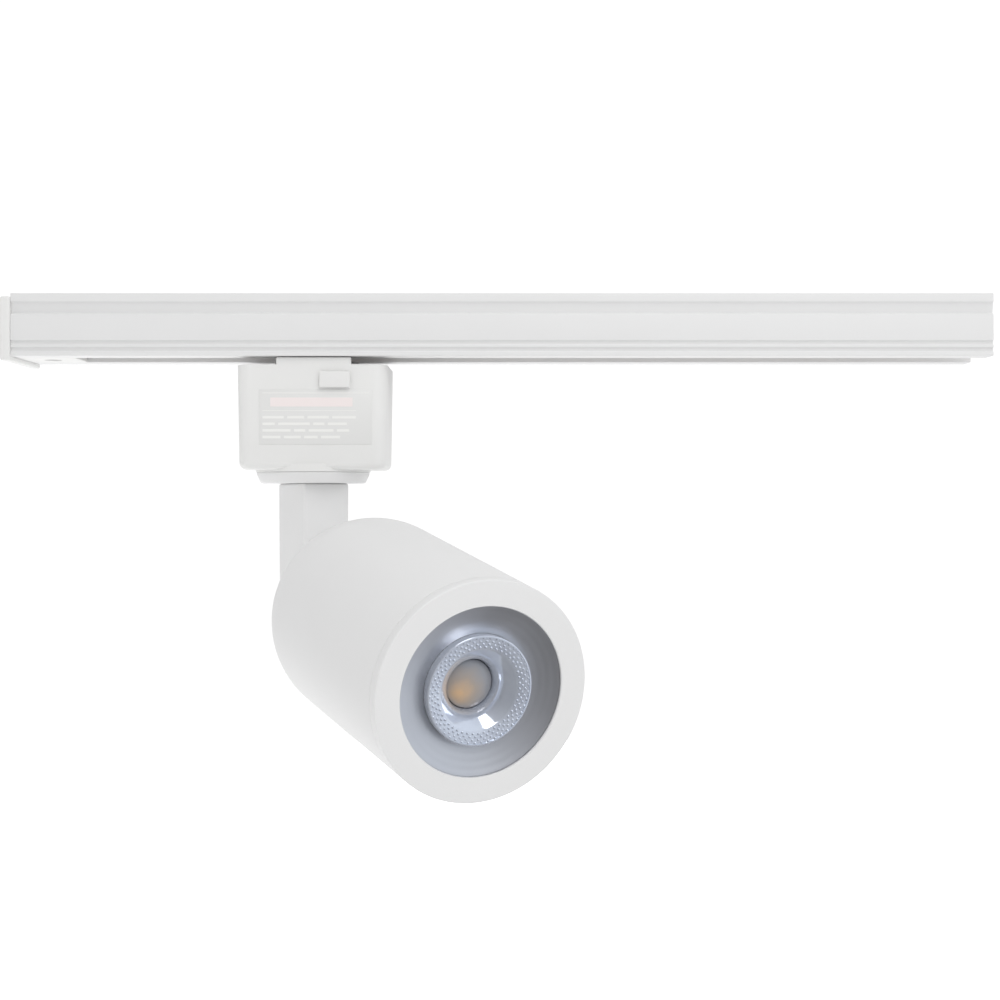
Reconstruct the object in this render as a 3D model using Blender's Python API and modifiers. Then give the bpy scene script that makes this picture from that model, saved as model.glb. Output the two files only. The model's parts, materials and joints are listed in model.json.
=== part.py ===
"""Track spotlight: a round LED head that swivels and tilts on an adapter, which slides along a short track.

Metres, +Z up. The origin is on the track's top face, where it meets the ceiling, on the swivel axis.
Each shape is modelled in the frame of the empty that carries it, so moving pieces turn about their joints.
"""

import math

import bmesh
import bpy
from mathutils import Matrix, Vector

MM = 0.001
GAP = 0.3 * MM  # clearance between pieces that touch

# Track: an aluminium channel with its slot facing down
TRACK_LEFT = -85.3 * MM
TRACK_RIGHT = 197.0 * MM
TRACK_HALF_WIDTH = 17.5 * MM
TRACK_HEIGHT = 18.0 * MM
TRACK_WEB = 1.5 * MM
TRACK_WALL_INSIDE = 15.2 * MM
SLOT_HALF_WIDTH = 8.8 * MM
LIP_THICKNESS = 1.5 * MM
CEILING_HOLES_X = (-45.0 * MM, 160.0 * MM)
CEILING_HOLE_RADIUS = 2.2 * MM

# Insulated conductors in the track
CARRIER_INNER = 10.3 * MM
CARRIER_TOP = -3.3 * MM
CARRIER_BOTTOM = -15.3 * MM
GROOVE_TOP = -6.5 * MM
GROOVE_BOTTOM = -12.5 * MM
GROOVE_FLOOR = 13.9 * MM
STRIP_THICKNESS = 0.6 * MM

# End cap
CAP_THICKNESS = 2.6 * MM
CAP_HALF_WIDTH = 18.2 * MM
CAP_TOP = -0.9 * MM
CAP_BOTTOM = -19.3 * MM
PLUG_LENGTH = 16.5 * MM
PLUG_TOP = -3.0 * MM
PLUG_STEP = -15.2 * MM
PLUG_SCREW_LENGTH = 13.5 * MM
CAP_ROUNDING = 0.6 * MM
PLUG_SCREW_X = -77.0 * MM

# Adapter box; its front and rear walls rise in the middle to a rim just below the track
BOX_CENTRE_X = 1.1 * MM
BOX_HALF_LENGTH = 21.8 * MM
BOX_HALF_LENGTH_BELOW = 21.3 * MM
BOX_HALF_WIDTH = 16.2 * MM
BOX_TOP = -20.4 * MM
RIM_TOP = -18.3 * MM
RIM_CENTRE_X = 1.65 * MM
RIM_HALF_LENGTH = 10.75 * MM
BOX_BOTTOM = -50.6 * MM
BOX_CORNER = 4.0 * MM
BOX_BOTTOM_EDGE = 2.0 * MM
BOX_WALL = 2.0 * MM
BOX_ROOM_EDGE = 0.5 * MM
PEDESTAL_RADIUS = 16.9 * MM
PEDESTAL_BOTTOM = -51.0 * MM
COVER_TOP = -20.7 * MM
COVER_BOTTOM = -22.4 * MM
SCREW_POST_OFFSET = 16.2 * MM
POST_RADIUS = 3.2 * MM
POST_HOLE_RADIUS = 1.6 * MM
POST_HOLE_END = -45.5 * MM
COVER_SCREW_LENGTH = 23.5 * MM
FRAME_POST_RADIUS = 2.8 * MM
FRAME_PLATE_TOP = -31.5 * MM
FRAME_PLATE_BOTTOM = -33.3 * MM
NECK_RADIUS = 6.5 * MM
NECK_TOP = -15.5 * MM
NECK_HOLE_END = -25.0 * MM

# Contact cap and its blades, above the track's lips
CONTACT_CAP_HALF = (8.2 * MM, 9.9 * MM)
CONTACT_CAP_BOTTOM = -15.2 * MM
CONTACT_CAP_TOP = -5.2 * MM
CONTACT_CAP_ROUNDING = 0.8 * MM
CAP_SCREW_HOLE = 1.5 * MM
CAP_SCREW_LENGTH = 18.0 * MM
BLADE_HALF_WIDTH = 2.5 * MM
BLADE_THICKNESS = 0.8 * MM
BLADE_INNER = 3.1 * MM
BLADE_TIP = 12.7 * MM
BLADE_TOP = -9.1 * MM
BLADE_TAIL = -36.0 * MM

# Release latch: a sprung tongue in the track's slot, with a button on the front face
LATCH_HALF = (10.3 * MM, 8.4 * MM)
LATCH_TOP = -16.8 * MM
LATCH_BOTTOM = -26.5 * MM
LATCH_TRAVEL = 2.3 * MM
STEM_LEFT = 4.7 * MM
STEM_RIGHT = 10.9 * MM
STEM_TOP = -22.9 * MM
STEM_BOTTOM = -24.3 * MM
BUTTON_MARGIN = 1.3 * MM
BUTTON_TOP = -22.4 * MM
BUTTON_BOTTOM = -27.1 * MM
BUTTON_BACK = -16.8 * MM
BUTTON_FRONT = -17.5 * MM
BUTTON_ROUNDING = 0.25 * MM
SPRING_X = 8.6 * MM
SPRING_RADIUS = 1.2 * MM
SPRING_WIRE = 0.2 * MM
SPRING_TURNS = 4

# Label on the front face
LABEL_LEFT = -14.0 * MM
LABEL_RIGHT = 18.4 * MM
LABEL_TOP = -27.6 * MM
LABEL_BOTTOM = -43.4 * MM
LABEL_GAP = 0.05 * MM
LABEL_THICKNESS = 0.2 * MM

# Swivel
SWIVEL_HEADING = math.radians(26.0)
TUBE_RADIUS = 5.0 * MM
TUBE_BORE = 3.5 * MM
TUBE_TOP = -41.8 * MM
TUBE_BOTTOM = -62.0 * MM
COLLAR_TOP = -51.3 * MM
COLLAR_BOTTOM = -54.5 * MM
COLLAR_TOP_RADIUS = 16.6 * MM
COLLAR_BOTTOM_RADIUS = 15.0 * MM
SWIVEL_WASHER_RADIUS = 8.6 * MM
SWIVEL_WASHER_THICKNESS = 0.6 * MM
STOP_WASHER_RADIUS = 8.0 * MM
STOP_THICKNESS = 0.8 * MM
NUT_CORNER_RADIUS = 8.08 * MM
NUT_THICKNESS = 3.5 * MM
STOP_REACH = 11.2 * MM
STOP_RIB_INNER = 9.2 * MM
STOP_HALF_WIDTH = 0.35 * MM
STOP_TOP = -46.2 * MM

# Arm: a fork that holds the head's tongue
ARM_TOP = -54.8 * MM
ARM_HALF_DEPTH = 11.0 * MM
ARM_END_RADIUS = 10.5 * MM
ARM_HALF_WIDTH = 7.05 * MM
FORK_HALF_GAP = 3.5 * MM
FORK_POCKET = 9.0 * MM
LEAD_CHANNEL = 2.5 * MM
GRUB_HEIGHT = -58.5 * MM
GRUB_RADIUS = 1.5 * MM
ARM_EDGE = 0.8 * MM

# Tilt pivot
PIVOT_HEIGHT = -82.7 * MM
HEAD_TILT = math.radians(11.2)
PIN_RADIUS = 2.0 * MM
PIN_HEAD_X = 6.8 * MM
PIN_HEAD_RADIUS = 3.6 * MM
PIN_SINK_RADIUS = 4.0 * MM
PIN_LENGTH = 12.3 * MM
INSERT_RADIUS = 2.9 * MM
INSERT_END = -5.9 * MM
TILT_WASHER_RADIUS = 6.0 * MM
TONGUE_RADIUS = 8.3 * MM
TONGUE_HALF = 2.4 * MM
TONGUE_SHANK = 14.0 * MM
TONGUE_ROOT = 25.5 * MM
TONGUE_ROOT_HALF = 10.0 * MM

# Head, measured forwards from the pivot along its own axis
HEAD_RADIUS = 28.0 * MM
HEAD_REAR = 21.0 * MM
HEAD_FRONT = 118.8 * MM
REAR_WALL = 3.0 * MM
FRONT_BORE = 26.0 * MM
SHELL_END = 115.5 * MM
SINK_SEAT = 88.0 * MM
RING_OPENING = 21.4 * MM
RING_LIP = 0.7 * MM
SPIGOT_OUTER = 25.6 * MM
SPIGOT_INNER = 24.4 * MM
SPIGOT_END = 105.0 * MM
DISH_RIM = 117.8 * MM
DISH_FLOOR = 114.6 * MM
DISH_SKIN = 0.7 * MM
DISH_CURVE = 1.5  # power of the bowl's fall from the rim to the lens
LENS_RADIUS = 13.9 * MM
LENS_FRONT = 118.0 * MM
LENS_BACK = 107.4 * MM
HOLDER_INNER = 12.6 * MM
HOLDER_OUTER = 13.7 * MM
BOARD_RADIUS = 12.2 * MM
BOARD_BACK = 105.0 * MM
BOARD_FRONT = 106.0 * MM
BOARD_SCREW_OFFSET = 9.6 * MM
BOARD_SCREW_HOLE = 1.5 * MM
BOARD_SCREW_RADIUS = 1.2 * MM
BOARD_SCREW_HEAD = 1.3 * MM
BOARD_SCREW_HEAD_RADIUS = 1.9 * MM
BOARD_SCREW_LENGTH = 4.8 * MM
LEAD_HOLE = 1.1 * MM
EMITTER_RADIUS = 5.5 * MM
EMITTER_THICKNESS = 0.8 * MM
SINK_RADIUS = 25.4 * MM
SINK_FRONT = 104.7 * MM
FIN_ROOT = 100.0 * MM
FIN_GAP = 3.4 * MM
FIN_PITCH = 6.4 * MM
FIN_GAPS = 7
DRIVER_RADIUS = 21.0 * MM
DRIVER_WALL = 1.4 * MM
DRIVER_REAR = 46.0 * MM
DRIVER_FRONT = 84.0 * MM
DRIVER_BOARD_HALF = 16.0 * MM
DRIVER_BOARD_TOP = -5.2 * MM
DRIVER_BOARD_THICKNESS = 1.6 * MM
CAPACITOR_RADIUS = 4.0 * MM
LEAD_OFFSET = 7.0 * MM
LEAD_PASSAGE = 2.0 * MM

HEAD_SIDES = 40  # sides of the head's round pieces
SMALL_SIDES = 16  # sides of holes, screws and other small round pieces

UP, DOWN, LEFT = (0, 0, 1), (0, 0, -1), (-1, 0, 0)
STRAIGHT = Matrix.Identity(4)
ALONG_X = Matrix(((0, 0, 1, 0), (1, 0, 0, 0), (0, 1, 0, 0), (0, 0, 0, 1)))  # an outline's x, y become Y, Z


# Tools -------------------------------------------------------------------------------------------------

def clear_scene():
    for obj in list(bpy.data.objects):
        bpy.data.objects.remove(obj, do_unlink=True)


def new_collection(name):
    collection = bpy.data.collections.new(name)
    bpy.context.scene.collection.children.link(collection)
    return collection


def material(name, colour, roughness, metallic=0.0):
    made = bpy.data.materials.new(name)
    made.use_nodes = True
    shader = made.node_tree.nodes["Principled BSDF"]
    shader.inputs["Base Color"].default_value = (*colour, 1.0)
    shader.inputs["Roughness"].default_value = roughness
    shader.inputs["Metallic"].default_value = metallic
    return made


def empty(name, location, parent=None, rotation=(0, 0, 0)):
    """A joint's frame, which carries the pieces that move with it."""
    made = bpy.data.objects.new(name, None)
    PARTS.objects.link(made)
    made.parent = parent
    made.location = location
    made.rotation_euler = rotation
    made.empty_display_size = 0.01
    return made


def add(name, mesh, finish, parent):
    """A part with its finish or, with no finish, a cutter that isn't rendered."""
    made = bpy.data.objects.new(name, mesh)
    made.parent = parent
    if finish is None:
        CUTTERS.objects.link(made)
        made.hide_render = True
        made.display_type = "WIRE"
        return made
    PARTS.objects.link(made)
    mesh.materials.clear()
    mesh.materials.append(finish)
    mesh.shade_smooth()
    mesh.set_sharp_from_angle(angle=math.radians(35))
    return made


def finished(name, bm):
    bmesh.ops.recalc_face_normals(bm, faces=bm.faces)
    mesh = bpy.data.meshes.new(name)
    bm.to_mesh(mesh)
    bm.free()
    return mesh


def block(name, low, high, finish=None, parent=None, rounding=0.0):
    """A block between two opposite corners, its edges rounded if asked."""
    low, high = Vector(low), Vector(high)
    bm = bmesh.new()
    bmesh.ops.create_cube(bm, size=1.0)
    bmesh.ops.scale(bm, vec=high - low, verts=bm.verts)
    bmesh.ops.translate(bm, vec=(low + high) / 2, verts=bm.verts)
    if rounding:
        bmesh.ops.bevel(bm, geom=bm.edges, offset=rounding, segments=2, profile=0.5, affect="EDGES")
    return add(name, finished(name, bm), finish, parent)


def rod(name, radius, start, end, finish=None, parent=None, sides=SMALL_SIDES, end_radius=None):
    """A round bar, or a cone, between two points."""
    start, end = Vector(start), Vector(end)
    along = end - start
    turn = Vector((0, 0, 1)).rotation_difference(along).to_matrix().to_4x4()
    bm = bmesh.new()
    bmesh.ops.create_cone(
        bm,
        cap_ends=True,
        segments=sides,
        radius1=radius,
        radius2=radius if end_radius is None else end_radius,
        depth=along.length,
    )
    bmesh.ops.transform(bm, matrix=Matrix.Translation((start + end) / 2) @ turn, verts=bm.verts)
    return add(name, finished(name, bm), finish, parent)


def meshed(name, curve, placing, finish, parent):
    """A curve's solid as a mesh, with its loose caps welded on."""
    guide = bpy.data.objects.new(name + "_guide", curve)
    CUTTERS.objects.link(guide)
    graph = bpy.context.evaluated_depsgraph_get()
    mesh = bpy.data.meshes.new_from_object(guide.evaluated_get(graph))
    bpy.data.objects.remove(guide, do_unlink=True)
    bm = bmesh.new()
    bm.from_mesh(mesh)
    bmesh.ops.remove_doubles(bm, verts=bm.verts, dist=0.001 * MM)
    bmesh.ops.transform(bm, matrix=placing, verts=bm.verts)
    return add(name, finished(name, bm), finish, parent)


def extrusion(name, outline, low, high, finish=None, parent=None, turn=STRAIGHT):
    """A flat outline made solid between two heights along its own Z, then turned."""
    curve = bpy.data.curves.new(name, "CURVE")
    curve.dimensions = "2D"
    curve.fill_mode = "BOTH"
    curve.extrude = (high - low) / 2
    spline = curve.splines.new("POLY")
    spline.points.add(len(outline) - 1)
    for point, (x, y) in zip(spline.points, outline):
        point.co = (x, y, 0, 1)
    spline.use_cyclic_u = True
    lift = Matrix.Translation((0, 0, (low + high) / 2))
    return meshed(name, curve, turn @ lift, finish, parent)


def wire(name, radius, route, finish, parent, sharpness=2):
    """A thin round wire along a route of points."""
    curve = bpy.data.curves.new(name, "CURVE")
    curve.dimensions = "3D"
    curve.bevel_depth = radius
    curve.bevel_resolution = sharpness
    curve.use_fill_caps = True
    spline = curve.splines.new("POLY")
    spline.points.add(len(route) - 1)
    for point, place in zip(spline.points, route):
        point.co = (*place, 1)
    return meshed(name, curve, STRAIGHT, finish, parent)


def turned(name, profile, finish=None, parent=None, steps=HEAD_SIDES):
    """A profile of (radius, height) points turned about Z. It runs down its outer side."""
    edges = [(i, i + 1) for i in range(len(profile) - 1)]
    if profile[0][0] > 0:
        edges.append((len(profile) - 1, 0))
    mesh = bpy.data.meshes.new(name)
    mesh.from_pydata([(radius, 0, height) for radius, height in profile], edges, [])
    made = add(name, mesh, finish, parent)
    screw = made.modifiers.new("Turn", "SCREW")
    screw.axis = "Z"
    screw.angle = 2 * math.pi
    screw.steps = steps
    screw.render_steps = steps
    screw.use_merge_vertices = True
    screw.merge_threshold = 0.001 * MM
    return made


def ring(name, outer, inner, top, bottom, finish=None, parent=None, steps=HEAD_SIDES):
    return turned(name, [(outer, top), (outer, bottom), (inner, bottom), (inner, top)], finish, parent, steps)


def arc(centre, radius, start, end, count):
    """Points on an arc, from one angle to another in degrees."""
    points = []
    for i in range(count):
        angle = math.radians(start + (end - start) * i / (count - 1))
        points.append((centre[0] + radius * math.cos(angle), centre[1] + radius * math.sin(angle)))
    return points


def rounded_rectangle(centre_x, half_x, half_y, corner, count=6):
    points = []
    for start, side_x, side_y in ((0, 1, 1), (90, -1, 1), (180, -1, -1), (270, 1, -1)):
        centre = (centre_x + side_x * (half_x - corner), side_y * (half_y - corner))
        points += arc(centre, corner, start, start + 90, count)
    return points


def boolean(target, operation, *tools):
    for tool in tools:
        modifier = target.modifiers.new(tool.name, "BOOLEAN")
        modifier.operation = operation
        modifier.solver = "EXACT"
        modifier.object = tool


def cut(target, *tools):
    boolean(target, "DIFFERENCE", *tools)


def join(target, *tools):
    boolean(target, "UNION", *tools)


# Track -------------------------------------------------------------------------------------------------

def track_outline():
    """Half of the section, from the middle of the top web round the outside to the slot and back inside."""
    side = TRACK_HALF_WIDTH
    lip_top = LIP_THICKNESS - TRACK_HEIGHT
    half = [
        (side, 0),
        (side, -2.4 * MM),
        (side - 0.6 * MM, -2.8 * MM),
        (side - 1.2 * MM, -5.5 * MM),
        (side, -6.1 * MM),
        (side, -13.5 * MM),
        (side - 0.6 * MM, -13.8 * MM),
        (side - 0.6 * MM, -14.6 * MM),
        (side, -14.9 * MM),
        (side, -15.5 * MM),
        (side - 0.6 * MM, -15.8 * MM),
        (side - 0.6 * MM, -16.6 * MM),
        (side, -16.9 * MM),
        (side, -TRACK_HEIGHT),
        (SLOT_HALF_WIDTH, -TRACK_HEIGHT),
        (SLOT_HALF_WIDTH, lip_top + 0.8 * MM),
        (SLOT_HALF_WIDTH + 0.9 * MM, lip_top + 0.8 * MM),
        (SLOT_HALF_WIDTH + 0.9 * MM, lip_top),
        (TRACK_WALL_INSIDE, lip_top),
        (TRACK_WALL_INSIDE, -TRACK_WEB),
    ]
    return half + [(-y, z) for y, z in reversed(half)]


def make_track(parent):
    body = extrusion("track_body", track_outline(), TRACK_LEFT, TRACK_RIGHT, WHITE_PAINT, parent, ALONG_X)
    for i, x in enumerate(CEILING_HOLES_X):
        above, below = (x, 0, 1 * MM), (x, 0, -2 * TRACK_WEB)
        cut(body, rod(f"ceiling_hole_{i + 1}", CEILING_HOLE_RADIUS, above, below, parent=parent))


def make_conductors(parent):
    """On each side a plastic carrier with a groove, and a copper strip in the groove's floor."""
    back = TRACK_WALL_INSIDE - GAP
    carrier = [
        (back, CARRIER_TOP),
        (back, CARRIER_BOTTOM),
        (CARRIER_INNER, CARRIER_BOTTOM),
        (CARRIER_INNER, GROOVE_BOTTOM),
        (GROOVE_FLOOR, GROOVE_BOTTOM),
        (GROOVE_FLOOR, GROOVE_TOP),
        (CARRIER_INNER, GROOVE_TOP),
        (CARRIER_INNER, CARRIER_TOP),
    ]
    left, right = TRACK_LEFT + 0.5 * MM, TRACK_RIGHT - 0.5 * MM
    strip_face = GROOVE_FLOOR - GAP
    for side, sign in (("front", -1), ("rear", 1)):
        outline = [(sign * y, z) for y, z in carrier]
        extrusion(f"conductor_carrier_{side}", outline, left, right, CARRIER_PLASTIC, parent, ALONG_X)
        near, far = sorted((sign * strip_face, sign * (strip_face - STRIP_THICKNESS)))
        low, high = (left, near, GROOVE_BOTTOM + GAP), (right - 1 * MM, far, GROOVE_TOP - GAP)
        block(f"conductor_{side}", low, high, COPPER, parent)


def make_end_cap(parent):
    face = TRACK_LEFT - GAP
    low, high = (face - CAP_THICKNESS, -CAP_HALF_WIDTH, CAP_BOTTOM), (face, CAP_HALF_WIDTH, CAP_TOP)
    cap = block("end_cap", low, high, WHITE_PLASTIC, parent, rounding=CAP_ROUNDING)
    end = TRACK_LEFT + PLUG_LENGTH
    slot = SLOT_HALF_WIDTH - GAP
    shoulder = CARRIER_INNER - 2 * GAP
    start = face - CAP_THICKNESS / 2
    low, high = (start, -slot, -TRACK_HEIGHT), (end, slot, PLUG_STEP + 5 * MM)
    plug_foot = block("plug_foot", low, high, parent=parent)
    plug = block("plug", (start, -shoulder, PLUG_STEP), (end, shoulder, PLUG_TOP), parent=parent)
    join(cap, plug_foot, plug)
    mouth, head = (PLUG_SCREW_X, 0, -TRACK_HEIGHT), (PLUG_SCREW_X, 0, GAP - TRACK_HEIGHT)
    cut(cap, screw_hole("plug_screw_hole", mouth, UP, TRACK_HEIGHT - 2 * MM, 1.8 * MM, 3.2 * MM, parent))
    countersunk("end_cap_screw", head, UP, PLUG_SCREW_LENGTH, 1.5 * MM, 2.8 * MM, parent)


def screw_hole(name, mouth, along, length, radius, mouth_radius, parent):
    """A countersunk clearance hole, as a cutter that starts a little outside the mouth."""
    turn = Vector((0, 0, -1)).rotation_difference(Vector(along)).to_matrix().to_4x4()
    proud = 0.5 * MM
    depth = mouth_radius - radius
    profile = [(0, proud), (mouth_radius, proud), (mouth_radius, 0)]
    profile += [(radius, -depth), (radius, -length), (0, -length)]
    made = turned(name, profile, None, parent, steps=SMALL_SIDES)
    made.matrix_local = Matrix.Translation(mouth) @ turn
    return made


def countersunk(name, head, along, length, radius, head_radius, parent):
    """A countersunk screw from the middle of its head's face, pointing along a direction, with a socket."""
    along = Vector(along)
    turn = Vector((0, 0, -1)).rotation_difference(along).to_matrix().to_4x4()
    depth = head_radius - radius
    profile = [(0, 0), (head_radius, 0), (radius, -depth), (radius, -length), (0, -length)]
    made = turned(name, profile, STEEL, parent, steps=SMALL_SIDES)
    made.matrix_local = Matrix.Translation(head) @ turn
    above, floor = (0, 0, 0.5 * MM), (0, 0, -0.6 * radius)
    socket = rod(name + "_socket", 0.7 * radius, above, floor, parent=parent, sides=6)
    socket.matrix_local = Matrix.Translation(head) @ turn
    cut(made, socket)
    return made


# Adapter -----------------------------------------------------------------------------------------------

def post_places():
    return [BOX_CENTRE_X - SCREW_POST_OFFSET, BOX_CENTRE_X + SCREW_POST_OFFSET]


def box_mesh(name, inset, top, bottom, bottom_edge):
    """A box with rounded upright edges, a little draft and a rounded bottom edge."""
    bm = bmesh.new()
    bmesh.ops.create_cube(bm, size=1.0)
    size = (2 * (BOX_HALF_LENGTH - inset), 2 * (BOX_HALF_WIDTH - inset), top - bottom)
    bmesh.ops.scale(bm, vec=size, verts=bm.verts)
    upright = [edge for edge in bm.edges if abs(edge.verts[0].co.z - edge.verts[1].co.z) > MM]
    bmesh.ops.bevel(bm, geom=upright, offset=BOX_CORNER - inset, segments=4, profile=0.5, affect="EDGES")
    for vert in bm.verts:
        if vert.co.z < 0:
            vert.co.x *= BOX_HALF_LENGTH_BELOW / BOX_HALF_LENGTH
    edges = [edge for edge in bm.edges if edge.verts[0].co.z < 0 and edge.verts[1].co.z < 0]
    bmesh.ops.bevel(bm, geom=edges, offset=bottom_edge, segments=3, profile=0.5, affect="EDGES")
    bmesh.ops.translate(bm, vec=(BOX_CENTRE_X, 0, (top + bottom) / 2), verts=bm.verts)
    return finished(name, bm)


def make_housing(parent):
    floor = BOX_BOTTOM + BOX_WALL
    mesh = box_mesh("adapter_housing", 0, RIM_TOP, BOX_BOTTOM, BOX_BOTTOM_EDGE)
    housing = add("adapter_housing", mesh, WHITE_PLASTIC, parent)
    room = box_mesh("box_room", BOX_WALL, RIM_TOP + 3 * MM, floor, BOX_ROOM_EDGE)
    cut(housing, add("box_room", room, None, parent))
    for side, sign in (("left", -1), ("right", 1)):
        end, reach = RIM_CENTRE_X + sign * RIM_HALF_LENGTH, RIM_CENTRE_X + sign * 2 * BOX_HALF_LENGTH
        low = (min(end, reach), -BOX_HALF_WIDTH - 1 * MM, BOX_TOP)
        high = (max(end, reach), BOX_HALF_WIDTH + 1 * MM, RIM_TOP + 1 * MM)
        cut(housing, block(f"rim_end_{side}", low, high, parent=parent))
    foot = (0, 0, PEDESTAL_BOTTOM)
    inside = (0, 0, floor - 0.4 * MM)
    pedestal = rod("pedestal", PEDESTAL_RADIUS, foot, inside, parent=parent, sides=HEAD_SIDES)
    low, high = (-STOP_HALF_WIDTH, STOP_RIB_INNER, floor - 1 * MM), (STOP_HALF_WIDTH, STOP_REACH, STOP_TOP)
    join(housing, pedestal, block("stop_rib", low, high, parent=parent))
    for side, x in zip(("left", "right"), post_places()):
        top = FRAME_PLATE_BOTTOM - GAP
        join(housing, rod(f"boss_{side}", POST_RADIUS, (x, 0, floor - 1 * MM), (x, 0, top), parent=parent))
        mouth = (x, 0, top + 1 * MM)
        cut(housing, rod(f"boss_hole_{side}", POST_HOLE_RADIUS, (x, 0, POST_HOLE_END), mouth, parent=parent))
    through = (0, 0, PEDESTAL_BOTTOM - 2 * MM), (0, 0, floor + 2 * MM)
    cut(housing, rod("swivel_hole", TUBE_RADIUS + GAP, *through, parent=parent, sides=24))
    low = (STEM_LEFT - GAP, -BOX_HALF_WIDTH - 2 * MM, STEM_BOTTOM - LATCH_TRAVEL - GAP)
    high = (STEM_RIGHT + GAP, -BOX_HALF_WIDTH + 3 * MM, STEM_TOP + GAP)
    cut(housing, block("latch_window", low, high, parent=parent))


def make_cover(parent):
    inside_x = BOX_HALF_LENGTH - BOX_WALL - 1.3 * GAP
    inside_y = BOX_HALF_WIDTH - BOX_WALL - GAP
    outline = rounded_rectangle(BOX_CENTRE_X, inside_x, inside_y, BOX_CORNER - BOX_WALL)
    cover = extrusion("adapter_cover", outline, COVER_BOTTOM, COVER_TOP, WHITE_PLASTIC, parent)
    opening_x, opening_y = LATCH_HALF[0] + 0.4 * MM, LATCH_HALF[1] + 0.4 * MM
    low = (-opening_x, -opening_y, COVER_BOTTOM - 1 * MM)
    high = (opening_x, opening_y, COVER_TOP + 1 * MM)
    cut(cover, block("tongue_opening", low, high, parent=parent))
    for side, x in zip(("left", "right"), post_places()):
        mouth, head = (x, 0, COVER_TOP), (x, 0, COVER_TOP - GAP)
        cut(cover, screw_hole(f"cover_hole_{side}", mouth, DOWN, 3 * MM, POST_HOLE_RADIUS, 2.8 * MM, parent))
        countersunk(f"cover_screw_{side}", head, DOWN, COVER_SCREW_LENGTH, 1.3 * MM, 2.3 * MM, parent)


def blade_outline(margin=0.0):
    """An L from the conductor's face inwards and down, seen along X."""
    inner, outer = BLADE_INNER - margin, BLADE_INNER + BLADE_THICKNESS + margin
    top, under = BLADE_TOP + margin, BLADE_TOP - BLADE_THICKNESS - margin
    tip, tail = BLADE_TIP + 3 * margin, BLADE_TAIL - 2 * margin
    return [(inner, tail), (outer, tail), (outer, under), (tip, under), (tip, top), (inner, top)]


def mirrored(outline):
    return [(-y, z) for y, z in reversed(outline)]


def make_contacts(parent):
    """The frame with its neck, the cap that turns into the track, and the two blades held between them."""
    inside_x, inside_y = BOX_HALF_LENGTH - BOX_WALL - 3 * GAP, BOX_HALF_WIDTH - BOX_WALL - 2 * GAP
    plate = rounded_rectangle(BOX_CENTRE_X, inside_x, inside_y, BOX_CORNER - BOX_WALL)
    frame = extrusion("contact_frame", plate, FRAME_PLATE_BOTTOM, FRAME_PLATE_TOP, WHITE_PLASTIC, parent)
    foot = (0, 0, FRAME_PLATE_BOTTOM + 1 * MM)
    join(frame, rod("neck", NECK_RADIUS, foot, (0, 0, NECK_TOP), parent=parent, sides=24))
    for side, x in zip(("left", "right"), post_places()):
        low, high = (x, 0, FRAME_PLATE_BOTTOM + 1 * MM), (x, 0, COVER_BOTTOM - GAP)
        join(frame, rod(f"post_{side}", FRAME_POST_RADIUS, low, high, parent=parent))
        low, high = (x, 0, FRAME_PLATE_BOTTOM - 1 * MM), (x, 0, COVER_BOTTOM + 1 * MM)
        cut(frame, rod(f"post_hole_{side}", POST_HOLE_RADIUS, low, high, parent=parent))
    low, high = (0, 0, NECK_HOLE_END), (0, 0, NECK_TOP + 1 * MM)
    cut(frame, rod("neck_hole", CAP_SCREW_HOLE, low, high, parent=parent))

    half_x, half_y = CONTACT_CAP_HALF
    low, high = (-half_x, -half_y, CONTACT_CAP_BOTTOM), (half_x, half_y, CONTACT_CAP_TOP)
    cap = block("contact_cap", low, high, WHITE_PLASTIC, parent, rounding=CONTACT_CAP_ROUNDING)
    mouth, head = (0, 0, CONTACT_CAP_TOP), (0, 0, CONTACT_CAP_TOP - 2 * GAP)
    cut(cap, screw_hole("cap_hole", mouth, DOWN, 12 * MM, CAP_SCREW_HOLE, 3.0 * MM, parent))
    countersunk("contact_cap_screw", head, DOWN, CAP_SCREW_LENGTH, 1.2 * MM, 2.2 * MM, parent)

    wide = BLADE_HALF_WIDTH + GAP
    for side, shape in (("front", mirrored), ("rear", list)):
        half, outline = BLADE_HALF_WIDTH, shape(blade_outline())
        extrusion(f"contact_blade_{side}", outline, -half, half, BRASS, parent, ALONG_X)
        outline = shape(blade_outline(GAP))
        slot = extrusion(f"blade_slot_{side}", outline, -wide, wide, parent=parent, turn=ALONG_X)
        cut(cap, slot)
        cut(frame, slot)


def make_label(parent):
    face = -BOX_HALF_WIDTH - LABEL_GAP
    low, high = (LABEL_LEFT, face - LABEL_THICKNESS, LABEL_BOTTOM), (LABEL_RIGHT, face, LABEL_TOP)
    block("rating_label", low, high, LABEL_FILM, parent)


def make_supply_leads(parent):
    """Two insulated leads from the blades' tails, down the swivel tube to the fork."""
    for side, sign in (("front", -1), ("rear", 1)):
        blade_y = BLADE_INNER + BLADE_THICKNESS / 2
        heights_and_reach = [
            (BLADE_TAIL - GAP, blade_y),
            (-37.2 * MM, blade_y),
            (-38.6 * MM, 2.9 * MM),
            (-40.2 * MM, 1.8 * MM),
            (-41.6 * MM, 1.25 * MM),
            (-60.0 * MM, 1.25 * MM),
            (-72.5 * MM, 1.25 * MM),
        ]
        route = [(0, sign * reach, height) for height, reach in heights_and_reach]
        wire(f"supply_lead_{side}", 0.8 * MM, route, LEAD_WHITE, parent)


# Release latch -----------------------------------------------------------------------------------------

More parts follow.
